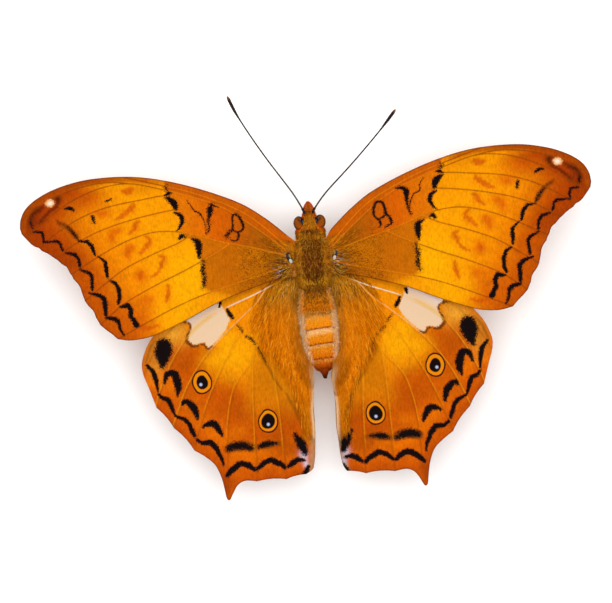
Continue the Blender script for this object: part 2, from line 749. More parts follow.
# The outer margin, with a blunt tooth beside each vein
FORE_MARGIN = (
    (31.35, -8.3), (32.15, -7.45), (33.15, -6.6), (33.9, -5.85), (34.15, -5.3), (34.5, -4.6), (34.7, -3.8),
    (34.95, -3.35), (35.6, -2.6), (36.00, -1.9), (36.2, -1.2), (36.4, -0.5), (36.52, 0.2), (36.85, 0.9),
    (37.5, 1.7), (37.68, 2.2), (37.98, 2.65), (38.2, 3.2), (38.45, 3.75), (39.15, 4.25), (39.8, 4.95),
    (40.35, 5.35), (40.8, 5.75), (41.35, 6.15), (42.15, 6.6), (42.5, 7.05), (43.2, 7.35), (43.75, 7.8),
    (44.2, 8.35), (44.65, 8.9), (45.1, 9.5),
)
FORE_COSTA = (
    (3.55, 6.1), (4.95, 7.45), (6.9, 9.15), (9.9, 11.3), (13.45, 13.05), (17.45, 14.65),
    (21.5, 15.95), (26.0, 16.95), (30.5, 17.3), (35.0, 17.1), (39.1, 16.2), (42.15, 14.9),
    (44.1, 13.45), (45.05, 11.85), (45.3, 10.35),
)
FORE_DORSUM = (
    (4.2, -0.7), (6.5, -1.2), (10.5, -2.35), (15.0, -3.85), (20.0, -6.1), (25.0, -8.05),
    (27.6, -8.6), (29.6, -8.65), FORE_TEETH["A"],
)
FORE_VEINS = {
    "Sc": ((3.75, 4.3), (9.5, 9.7), (17.0, 13.5), (24.0, 15.8), (28.6, 17.18)),
    "R5": ((3.75, 3.6), (8.0, 7.3), (13.0, 11.0), (18.0, 13.2), (22.0, 14.55), (27.0, 15.95),
           (31.0, 15.9), (35.0, 14.8), (38.5, 13.1), (42.0, 10.7), FORE_TEETH["R5"]),
    "R3": ((27.0, 15.95), (31.0, 16.5), (35.5, 16.0), (39.5, 14.8), (42.4, 13.3), (44.95, 11.6)),
    "M1": ((19.5, 11.5), (21.4, 13.6), (26.5, 13.25), (31.5, 12.55), (36.0, 11.1), (40.0, 8.9),
           FORE_TEETH["M1"]),
    "M2": ((19.5, 11.5), (24.0, 10.95), (29.0, 10.0), (33.5, 8.7), (37.0, 7.1), FORE_TEETH["M2"]),
    "M3": ((3.75, 2.7), (9.0, 4.4), (14.0, 5.75), (19.0, 7.5), (23.5, 8.1), (27.5, 7.4), (32.0, 5.6),
           FORE_TEETH["M3"]),
    "CuA1": ((18.4, 7.25), (20.6, 6.05), (25.0, 4.5), (30.0, 2.3), FORE_TEETH["CuA1"]),
    "CuA2": ((12.4, 5.3), (15.0, 3.9), (20.0, 1.6), (25.0, -0.45), (30.0, -2.9), FORE_TEETH["CuA2"]),
    "A": ((3.9, 1.2), (7.0, 0.2), (12.0, -1.05), (17.5, -2.5), (22.0, -4.1), (27.0, -6.3), FORE_TEETH["A"]),
}
# Where the dusky base ends at the dark discal band: fore, out
DISCAL_BAND = ((-4.5, 10.5), (-3.0, 13.0), (-1.8, 17.0), (0.0, 17.2), (2.5, 17.2), (4.4, 17.4), (6.2, 17.8),
               (6.9, 19.6), (8.3, 20.3), (9.4, 19.9), (10.7, 20.5), (12.0, 20.9), (13.3, 21.8), (15.5, 21.9))
FORE_INK = (
    # The discal band
    Stroke(((21.75, 15.4), (21.85, 14.8), (21.6, 14.4)), (0.3, 0.5, 0.3), 0.35),
    Stroke(((20.9, 13.95), (21.5, 13.9), (22.1, 13.65)), (0.2, 0.72, 0.3), 0.9),
    Stroke(((22, 13.3), (21.3, 12.95), (20.75, 12.4), (20.5, 11.6)), (0.3, 0.9, 1.15, 0.85), 0.8),
    Stroke(((20.85, 10.9), (19.95, 10.45), (19.65, 9.7), (19.8, 9), (20.2, 8.4), (20.7, 8.1)),
           (0.3, 0.65, 0.8, 0.65, 0.5, 0.2), 0.8),
    Stroke(((19.45, 6.95), (19.9, 7.15), (20.3, 6.7)), (0.3, 0.78, 0.5), 0.8),
    Stroke(((18.3, 6.5), (17.6, 6), (17.4, 5.2), (17.3, 4.5), (17.5, 3.5)), (0.4, 1, 1.1, 0.85, 0.4), 0.65),
    Stroke(((17, 2.9), (17, 1.7), (17, 0.87), (17, -0.1), (17.2, -1.2)), (0.35, 0.62, 0.72, 0.62, 0.45),
           0.36),
    # Dots beyond it
    Stroke(((33.65, 11.3), (33.6, 10.3)), (0.6, 0.4), 0.7),
    Stroke(((36.7, 12.6), (37.3, 12.95), (38, 12.95)), (0.5, 0.65, 0.3), 0.8),
    # The submarginal line's inner row of hooks
    Stroke(((37.9, 9.95), (37.4, 9.5), (36.9, 8.9), (36.35, 8.1)), (0.15, 0.34, 0.44, 0.35), 0.45),
    hook(((36.2, 7.65), (34.95, 7.45), (34.2, 6.7), (33.8, 5.3)), (0.28, 0.58, 0.67, 0.5)),
    hook(((33.3, 4.9), (32.4, 4.1), (32.15, 2.9), (32.15, 1.65)), (0.34, 0.62, 0.73, 0.56)),
    hook(((31.95, 1.05), (31, 0.6), (30.5, -0.7), (30.5, -1.7), (30.8, -2.6)),
         (0.34, 0.62, 0.69, 0.76, 0.56)),
    hook(((30.45, -3.2), (29.3, -3.1), (28.85, -3.9), (29, -4.8), (28.55, -5.6), (28.2, -6.3)),
         (0.45, 0.84, 0.78, 0.67, 0.84, 1.06)),
    # Its outer row
    Stroke(((43.55, 11.3), (43.4, 10.8), (43.3, 10.2)), (0.2, 0.3, 0.22), 0.5),
    hook(((43.1, 9.6), (41.95, 9.45), (41.75, 8.75), (41.7, 8)), (0.31, 0.45, 0.47, 0.38)),
    hook(((41.45, 8), (39.7, 7.85), (39.1, 7.4), (38.8, 6.45)), (0.28, 0.47, 0.53, 0.4)),
    hook(((38.4, 5.95), (37, 5.55), (36.5, 5), (36.4, 3.7)), (0.31, 0.53, 0.62, 0.53)),
    hook(((36.4, 3.15), (35, 2.5), (34.6, 1.9), (34.6, 1.1), (34.75, -0.1)), (0.31, 0.56, 0.65, 0.62, 0.53)),
    hook(((35.2, -0.65), (33.6, -1.2), (32.95, -1.75), (32.9, -3), (32.9, -4.3)),
         (0.38, 0.62, 0.75, 0.78, 0.62)),
    hook(((32.9, -4.75), (31.7, -5.05), (31.1, -5.5), (30.85, -6.2), (30.7, -6.9), (30.35, -7.7)),
         (0.44, 0.72, 0.72, 0.54, 0.5, 0.36)),
)
# Where the two rows fade to brown below the apical spot
FORE_DIMS = (
    Stroke(((38.9, 14.5), (38.95, 13.9), (39.4, 13.3), (40.4, 12.7), (41.3, 11.9), (42.1, 11.1)),
           (0.45, 0.5, 0.45, 0.5, 0.5, 0.3)),
    Stroke(((39.35, 11), (38.3, 10.3), (37.4, 9.5), (36.9, 8.9), (36.35, 8.1)), (0.3, 0.5, 0.55, 0.6, 0.5)),
    Stroke(((41.2, 13.6), (42.2, 12.9), (43.1, 12.4), (43.6, 11.6), (43.4, 10.8)), (0.2, 0.4, 0.5, 0.4, 0.3)),
)
# The figure and the bar in each wing's cell, and the hair line beside the bar, which differ from side to side
CELL_INK = {
    Side.RIGHT: (
        Stroke(((12.41, 8.71), (12.3, 9.41), (12.09, 9.83), (11.8, 10), (11.4, 9.93), (10.98, 9.67),
                (10.68, 9.05), (10.58, 8.46), (10.68, 7.86), (10.94, 7.44), (11.31, 7.11), (11.53, 6.69),
                (11.49, 6.3), (11.21, 5.83)), (0.48, 0.46, 0.42, 0.36, 0.42, 0.4, 0.36, 0.46, 0.2), 0.9),
        Stroke(((12.41, 8.71), (12.53, 8), (12.9, 7.67), (13.25, 7.05), (13.35, 6.44), (13.08, 6.22),
                (12.56, 6.01), (12.19, 5.74)), (0.44, 0.5, 0.42, 0.48, 0.36, 0.32, 0.2), 0.8),
        Stroke(((12.5, 7.95), (12.25, 7.6), (11.9, 7.35), (11.45, 7.15)), (0.3, 0.36, 0.36, 0.3), 0.9),
        Stroke(((14.6, 11.8), (15.4, 11.9), (16, 11.3), (16.06, 10.5), (15.98, 9.5), (16.14, 8.55),
                (16.6, 7.5)), (0.35, 0.85, 1.1, 0.65, 0.5, 0.42, 0.3), 0.7),
        Stroke(((19, 13.1), (18.35, 12.3), (18.2, 11.3), (17.3, 10.8), (16.9, 10.2), (16.5, 9.36),
                (16.4, 8.2)), (0.16, 0.22, 0.2, 0.22, 0.18)),
    ),
    Side.LEFT: (
        Stroke(((12.1, 7.1), (11.86, 7.6), (11.76, 8.13), (11.74, 8.93), (11.63, 9.71), (11.17, 9.82),
                (10.7, 9.44), (10.36, 8.81), (10.07, 8.09), (10.11, 7.6), (10.44, 7.18), (10.91, 7.02),
                (11.5, 7.07), (11.97, 7.35)),
               (0.4, 0.4, 0.36, 0.4, 0.34, 0.38, 0.42, 0.4, 0.32, 0.26, 0.3), 0.9),
        Stroke(((11.02, 6.88), (10.96, 6.38), (11.11, 5.79), (11.71, 5.64), (12.29, 5.89)),
               (0.4, 0.42, 0.3, 0.26, 0.15), 0.8),
        Stroke(((12.07, 7.36), (12.6, 6.91), (12.99, 6.45), (12.55, 6.31)), (0.4, 0.55, 0.6, 0.2), 0.4),
        Stroke(((13.84, 11.19), (14.51, 11.44), (15.17, 11.84)), (0.15, 0.4, 0.2), 0.7),
        Stroke(((14.8, 11.7), (15.17, 10.7), (15.39, 9.83), (15.53, 9.04), (15.41, 8.44), (15.67, 7.66),
                (15.96, 7.19)), (0.5, 1.15, 0.75, 0.5, 0.42, 0.36, 0.25), 0.6),
        Stroke(((18.7, 12.6), (17.54, 10.9), (16.97, 10.55), (16.53, 9.87), (16.2, 9.1), (16.02, 8.29),
                (16.15, 7.3)), (0.14, 0.22, 0.24, 0.3, 0.16, 0.14, 0.1), 0.9),
        Stroke(((31.4, 13.57), (30.6, 13.84)), (0.36, 0.36), 0.8),
    ),
}
# The rusty zigzag across the yellow
FORE_SMUDGES = (
    Stroke(((27.3, 15.2), (27.9, 14.8), (28.5, 14.9)), (0.8, 1, 0.5)),
    Stroke(((27, 12.7), (27.69, 12.01), (28.27, 11.52), (29.1, 10.92), (29.97, 10.76)),
           (0.3, 0.6, 0.5, 0.42, 0.2)),
    Stroke(((26.5, 9.9), (27.1, 9.6), (27.1, 9.2), (27.6, 8.6), (28.2, 8.1)), (0.35, 0.45, 0.5, 0.35, 0.2)),
    Stroke(((25.7, 7.5), (25, 7.1), (25.1, 6.5), (25.8, 5.8), (26.6, 5)), (0.2, 0.35, 0.45, 0.4, 0.25)),
    Stroke(((23.6, 4.2), (22.95, 3.9), (23.4, 3.3), (23.6, 2.5), (24.3, 1.6), (25.3, 1)),
           (0.3, 0.4, 0.45, 0.35, 0.3, 0.15)),
    Stroke(((22.68, -0.47), (22.77, -1.54), (23.03, -2.62), (23.16, -3.16)), (0.2, 0.4, 0.45, 0.25)),
    Stroke(((26.8, 1.9), (26.99, 1.47), (27.12, 0.95)), (0.2, 0.45, 0.2)),
    Stroke(((25, -6.6), (26.3, -7), (27.6, -6.7)), (0.3, 0.5, 0.6)),
)
# The softer second row beyond it
FORE_CLOUDS = (
    (32.1, 11.7, 1.5, 0.8, 1.0), (30.0, 8.8, 0.9, 0.7, 0.9), (31.0, 7.8, 0.7, 1.1, 1.0),
    (28.1, 6.0, 0.8, 0.7, 1.0), (28.7, 5.0, 0.7, 1.0, 1.0), (26.9, 1.4, 1.1, 1.1, 1.0),
    (26.2, -2.5, 1.0, 0.9, 0.9), (22.9, 3.3, 0.8, 0.8, 0.4), (27.8, 11.9, 1.2, 0.9, 0.4),
    (27.0, 9.1, 0.8, 0.9, 0.4), (25.2, 6.2, 0.6, 1.0, 0.4), (22.9, -1.8, 0.6, 1.4, 0.4),
)
# The middle of the pale spot near the tip
APICAL_SPOT = (40.25, 14.0)


@dataclass
class Forewing(Wing):
    """A forewing, whose dusky base ends at a dark band and whose rusty margin carries two rows of hooks."""

    name = "forewing"
    veins = FORE_VEINS
    hinge_height = FORE_HINGE_HEIGHT

    def edges(self) -> tuple[Array, Array, Array, Array]:
        """The dorsum, the costa, the root between them and the scalloped outer margin, on the flat plan."""
        root_out = 2.3 - self.side.value * TRUNK_SHIFT
        front = curve(((root_out, 4.6), *FORE_COSTA), self.rows)
        rear = curve(((root_out, 0.0), *FORE_DORSUM), self.rows)
        root = np.linspace(rear[0], front[0], self.columns)
        margin = np.array((*FORE_MARGIN, FORE_COSTA[-1]))
        return rear, front, root, evenly(margin, self.columns)

    def marks(self, spots: Array, depth: Array, vein: Array) -> dict[str, Array]:
        """What each point keeps.

        Args:
            spots: plan points as seen from above.
            depth: how far each is from the outer margin.
            vein: how far each is from the nearest vein.

        Returns:
            The tint, how dusky the base is, and the distances to ink, white, eyespot and glint.
        """
        out, fore = spots.T
        wander = spots + 0.09 * np.column_stack([ripple(spots, 2.3, 0.4), ripple(spots, 2.9, 2.1)])
        band = np.interp(fore, *np.array(DISCAL_BAND).T)
        soft = 0.3 + 2.2 * smooth(-1.2, -2.6, fore)
        base = smooth(1, -1, (out - band + 0.2 * ripple(spots, 1.4, 1.0)) / soft)
        stem = curve(FORE_VEINS["R5"])
        cell_top = np.interp(out, *stem.T)
        cell_foot = np.interp(out, *curve(FORE_VEINS["M3"]).T)
        cubital = smooth(-0.4, 0.4, fore - np.interp(out, *curve(FORE_VEINS["CuA2"]).T)) * (out > 12.4)
        behind = smooth(0.3, -0.3, fore - cell_foot)
        anal = smooth(0.5, -0.5, fore - np.interp(out, *curve(FORE_VEINS["A"]).T))
        costa = gap(spots, FORE_COSTA)

        distal = layered(
            ramp(depth + 0.5 * ripple(spots, 3.1, 0.2), {
                0: "B84C02", 1.2: "C25200", 3: "CA5800", 5: "DE7000", 7.5: "F48A00", 10: "F99500",
                13.5: "FC9C00", 18: "FC9E00"}),
            ("FEAD00", 0.85 * smooth(7, 1, fore) * smooth(27, 19, out)),
            ("F89400", 0.6 * smooth(8, 11, fore) * smooth(27, 22, out)),
            ("EE8A02", 0.65 * anal * smooth(22, 16, out)),
            ("FFA600", glow(spots, (23.4, -4.8, 2.4, 1.8, 0.7))),
            ("E08000", glow(spots, (25.5, 15.2, 3, 1, 0.7))),
            ("D66002", 0.7 * glow(spots, (28.2, -5, 2.4, 2.4, 1.2), (32, -4, 3, 4, 0.2))),
            ("D25A00", glow(spots, (34.6, 14.2, 3.6, 2, 0.9))),
            ("B03C00", glow(spots, (40.4, 13.6, 4.6, 2.8, 1), (43, 9.6, 2.6, 3.6, 0.7))),
            ("9E3800", 0.8 * smooth(1, 5, fore) * smooth(4.5, 1.0, depth)),
            ("B03E00", glow(spots, (39.8, 9, 3.6, 3.6, 0.55), (37.6, 15.4, 4, 1.2, 0.9))),
            ("5A1C04", glow(spots, (43.2, 13.4, 1.3, 0.7, 0.8), (39, 14.5, 0.9, 0.6, 0.8),
                            (43.4, 11.4, 1.6, 1.5, 0.6))))
        cell = ramp(out, {3: "A05606", 8: "AC5904", 12: "CB5B02", 14.5: "D86001", 19: "E27402"})
        back = ramp(out, {3: "A65E08", 8: "CA7002", 13: "C26402", 17: "CA6C02"})
        back = laid_over(back, "CC6A02", 0.8 * cubital)
        basal = cell + (back - cell) * behind[:, None]
        strip = ramp(out, {6: "B26004", 11: "BC6402", 15.5: "E07C02", 18: "F09202"})
        basal += (strip - basal) * anal[:, None]
        basal = laid_over(basal, "C85B03", smooth(-0.3, 0.4, fore - cell_top))
        smudge = drawn(wander + 0.12 * ripple(spots, 0.8, 3.0)[:, None], FORE_SMUDGES)
        dims = drawn(wander, FORE_DIMS)
        outside = smooth(0.14, 0.02, vein)
        edge = np.minimum(depth, np.minimum(costa, gap(spots, FORE_DORSUM) + 0.02))
        tint = layered(
            distal + (basal - distal) * base[:, None],
            ("DA6002", 0.85 * glow(spots, *FORE_CLOUDS) * (1 - base)),
            ("D05604", 0.8 * smooth(0.34, -0.16, smudge)),
            ("421604", 0.72 * smooth(0.36, -0.26, dims + 0.14 * ripple(spots, 0.6, 1.0))),
            ("C05A04", 0.7 * smooth(0.75, 0.2, costa) * smooth(24, 20, out)),
            ("B85402", 0.85 * smooth(1.3, 0.5, costa) * smooth(21, 25, out)),
            ("A03E02", 0.8 * smooth(1.2, 0.4, costa) * smooth(27, 34, out)),
            ("8A3E04", 0.85 * outside * smooth(8, 12, out) * (1 - 0.8 * base)),
            ("E8840E", 0.6 * outside * base),
            ("6E2A0A", 0.85 * smooth(0.24, 0.04, edge)))
        hinge = glow(spots, (4.6, 1.2, 1.6, 2.2, 1))
        dusk = base * (0.62 + 0.16 * behind - 0.1 * cubital + 0.06 * smooth(12, 6, out))
        dusk *= 1 - 0.6 * smooth(-0.3, 0.4, fore - cell_top)
        dusk = np.maximum(dusk * (1 - 0.35 * smooth(11, 15, out)), 0.8 * hinge)
        pale = np.hypot((wander[:, 0] - APICAL_SPOT[0]) / 1.25, wander[:, 1] - APICAL_SPOT[1]) - 0.55
        white = laid_over(np.tile(linear("F4B878"), (len(spots), 1)), "FDEBD8", smooth(-0.1, -0.45, pale))
        ink = drawn(wander, FORE_INK + CELL_INK[self.side])
        far = np.full(len(spots), FAR)
        return {"tint": tint, "dusk": dusk, "ink": ink, "pale": pale, "pale_tint": white, "spot": far,
                "glint": far}


# Where the hindwing's veins reach its margin
HIND_TEETH = {
    "A": (3.15, -32.15), "CuA2": (6.3, -32.7), "CuA1": (10.95, -32.7), "M3": (15.6, -35.4),
    "M2": (20.55, -27.05), "M1": (23.5, -23.3), "Rs": (26.00, -19.9),
}
# The fore edge, and the outer margin round the tail
HIND_COSTA = (
    (6.0, 1.3), (10.0, 1.5), (15.0, 0.4), (20.0, -2.6), (23.5, -5.8), (25.45, -8.2), (26.7, -9.9),
    (27.55, -11.8), (27.85, -13.3), (27.6, -14.9), (27.0, -16.65), HIND_TEETH["Rs"],
)
HIND_TAIL = (
    HIND_TEETH["CuA1"], (12.7, -32.45), (13.9, -32.9), (14.6, -33.75), (15.25, -34.95), HIND_TEETH["M3"],
    (16.0, -34.95), (16.2, -33.6), (16.6, -31.6), (17.4, -29.65), (18.75, -28.3), HIND_TEETH["M2"],
)
HIND_VEINS = {
    "Sc": ((4.3, -0.1), (9.0, -1.0), (15.0, -2.8), (20.5, -6.0), (24.4, -9.3), (26.4, -12.2), (27.72, -14.8)),
    "Rs": ((4.3, -0.9), (9.0, -3.1), (14.0, -5.1), (17.6, -7.0), (20.6, -9.6), (23.1, -13.2), (25.0, -17.0),
           HIND_TEETH["Rs"]),
    "M1": ((7.4, -2.5), (9.2, -4.7), (12.0, -7.1), (15.0, -9.8), (18.0, -12.9), (20.8, -17.0), (22.5, -20.8),
           HIND_TEETH["M1"]),
    "M2": ((9.2, -4.7), (12.4, -9.8), (15.2, -14.5), (17.5, -19.0), (19.3, -23.5), HIND_TEETH["M2"]),
    "M3": ((4.5, -1.9), (6.6, -5.0), (8.6, -9.2), (10.2, -13.4), (12.5, -16.2), (13.8, -18.6), (14.8, -23.0),
           (15.3, -28.5), (15.6, -34.6)),
    "CuA1": ((10.2, -13.4), (10.5, -18.5), (10.7, -25.5), HIND_TEETH["CuA1"]),
    "CuA2": ((7.9, -7.7), (7.4, -13.0), (6.7, -19.0), (6.35, -26.0), HIND_TEETH["CuA2"]),
}
# The faint cross vein that closes the hindwing's cell
CELL_END = ((13.0, -16.6), (13.7, -17.0), (14.15, -16.7), (14.3, -16.0), (14.5, -15.2))
# The outline of the cream patch
HIND_WHITE = (
    (14.9, -3.4), (17.0, -3.4), (20.6, -5.4), (20.4, -6.5), (19.5, -7.1), (19.5, -7.9), (19.9, -8.9),
    (20.1, -9.7), (19.3, -10.5), (18.4, -10.35), (17.5, -10.3), (17.1, -11.1), (16.4, -10.7), (15.0, -9.5),
    (13.8, -7.9), (13.4, -6.8), (14.0, -5.6), (14.6, -4.4),
)
HIND_INK = (
    # The broken discal line
    Stroke(((14.7, -4.1), (14.9, -4.7)), (0.6, 0.4)),
    Stroke(((13.6, -5.3), (13.35, -6), (12.9, -6.75)), (0.45, 0.8, 0.45), 0.8),
    Stroke(((12.15, -7.9), (11.8, -8.4), (11.4, -9)), (0.2, 0.36, 0.25), 0.45),
    Stroke(((10.9, -9.8), (10.1, -10.3), (9.6, -10.9)), (0.26, 0.45, 0.3), 0.5),
    Stroke(((9.2, -11.5), (8.6, -12.8), (8, -14.1)), (0.24, 0.2, 0.1), 0.8),
    # The large spot at the fore corner
    Stroke(((24, -10.4), (24.2, -11.3), (24.35, -12.3), (24.5, -13.6)), (2.6, 2.9, 2.1, 0.9), 0.4),
    # The outer row of crescents
    hook(((26.9, -13.3), (25.95, -14.5), (25.6, -15.9), (25.4, -17.5)), (0.46, 0.82, 0.73, 0.46)),
    hook(((25.4, -18), (24.9, -18.6), (23.9, -18.95), (23.4, -20.2), (23, -21.5)),
         (0.46, 0.73, 0.79, 0.73, 0.46)),
    hook(((22.8, -21.7), (21.5, -22.2), (20.75, -23.3), (20.1, -25)), (0.53, 0.82, 0.82, 0.53)),
    hook(((19.7, -25.6), (18.9, -26.1), (17.7, -26.15), (16.75, -27.2), (16.1, -28.7), (15.85, -29.9)),
         (0.53, 0.82, 0.9, 0.82, 0.73, 0.4)),
    hook(((15.4, -31.5), (14.4, -30.65), (13.5, -29.9), (12.8, -29.75), (11.9, -30.2), (10.95, -30.9)),
         (0.66, 0.99, 0.99, 0.92, 0.95, 0.66)),
    hook(((10.5, -30.8), (9.5, -30), (8.3, -29.55), (7.1, -30.1), (6.15, -30.9)),
         (0.66, 0.9, 0.9, 0.92, 0.66)),
    hook(((5.6, -30.8), (4.7, -30.1), (3.9, -29.75), (3.1, -29.9)), (0.59, 0.9, 0.9, 0.59)),
    # The inner row
    Stroke(((24.3, -16.2), (23.9, -15.1), (23.2, -14.8), (22.5, -15.3), (22.2, -16.8), (22.4, -18.5)),
           (0.5, 1, 1.3, 1.4, 1.1, 0.4), 0.7),
    Stroke(((21.7, -19.8), (21.3, -19.45), (20.5, -19.8), (19.9, -20.7), (19.4, -22.2)),
           (0.53, 1.06, 1.25, 1.06, 0.53), 0.75),
    Stroke(((18.7, -23.7), (18.2, -23.3), (17.1, -23.15), (16.3, -24), (15.75, -25.1)),
           (0.46, 0.92, 1.06, 0.95, 0.53), 0.75),
    Stroke(((11.35, -27.4), (12.4, -27.05), (13.6, -26.95), (14.8, -27.2)), (0.79, 1.39, 1.52, 1.12), 0.4),
    Stroke(((7.4, -26.9), (8.6, -26.95), (9.4, -27.1), (10.1, -27.4)), (0.53, 0.99, 1.06, 0.53), 0.5),
    Stroke(((4.3, -25.7), (3.65, -26.6), (3.3, -27.5), (2.85, -28.7)), (0.6, 1.35, 1.6, 1.1), 0.5),
    Stroke(((2.5, -31), (3, -31.9)), (0.66, 1.06), 0.8),
)
# The brown flecks round the white patch's outer end
HIND_FLECKS = (
    Stroke(((19.8, -6.3), (20.6, -6.8), (21.4, -6.7)), (0.4, 0.7, 0.3), 0.8),
    Stroke(((19.85, -6.9), (19.6, -7.7), (20, -8.8), (20.5, -9.7), (19.6, -10.7), (18.7, -10.7)),
           (0.5, 0.45, 0.6, 0.5, 0.6, 0.4), 1.2),
    Stroke(((18.3, -10.5), (17.7, -10.6), (17.2, -11.3), (16.4, -10.9)), (0.3, 0.4, 0.6, 0.3), 1.2),
)
# The dark line where the inner margin folds, a line beside the corner spot, and a cloud round two of the bars
HIND_SHADES = (
    Stroke(((9.32, -11.71), (8.12, -14.19), (6.92, -16.67), (5.9, -18.5)), (0.24, 0.34, 0.32, 0.2)),
    Stroke(((5.3, -19.2), (4.54, -20.6), (3.91, -21.9), (3.55, -23.3)), (0.2, 0.3, 0.28, 0.12)),
    Stroke(((25.4, -9.6), (26.4, -11), (27, -12.9)), (0.15, 0.2, 0.15)),
    Stroke(((11, -27.4), (12.8, -27), (15, -27.4)), (1.1, 1.6, 1.1)),
    Stroke(((7, -27), (8.6, -27.1), (10.3, -27.4)), (0.8, 1.2, 0.8)),
)


@dataclass(frozen=True)
class Eyespot:
    """A ringed spot: the radii of its ring and of its pupil, and where its glint is."""

    centre: Pair
    ring: Pair
    pupil: float
    glint: Pair

    def place(self, spots: Array) -> Array:
        """0 at the centre, 0.62 at the pupil's edge, 1 at the ring's outer edge and more beyond."""
        share = np.hypot((spots[:, 0] - self.centre[0]) / self.ring[0],
                         (spots[:, 1] - self.centre[1]) / self.ring[1])
        return np.interp(share, [0, self.pupil, 1, 4], [0, 0.62, 1, 4])

    def shine(self, spots: Array) -> Array:
        """Signed distance to the edge of the glint, a round dot."""
        return np.hypot(spots[:, 0] - self.glint[0], spots[:, 1] - self.glint[1]) - 0.22


EYESPOTS = (
    Eyespot((18.4, -16.55), (1.4, 1.72), 0.68, (18.6, -16.9)),
    Eyespot((8.35, -23.4), (1.42, 1.68), 0.79, (8.35, -23.9)),
)
# The right hindwing was drawn on the plan as it lies in the photograph
DRAWN_SPREAD = -0.5
# How far from a vein its paint is worked out
VEIN_REACH = 3.0


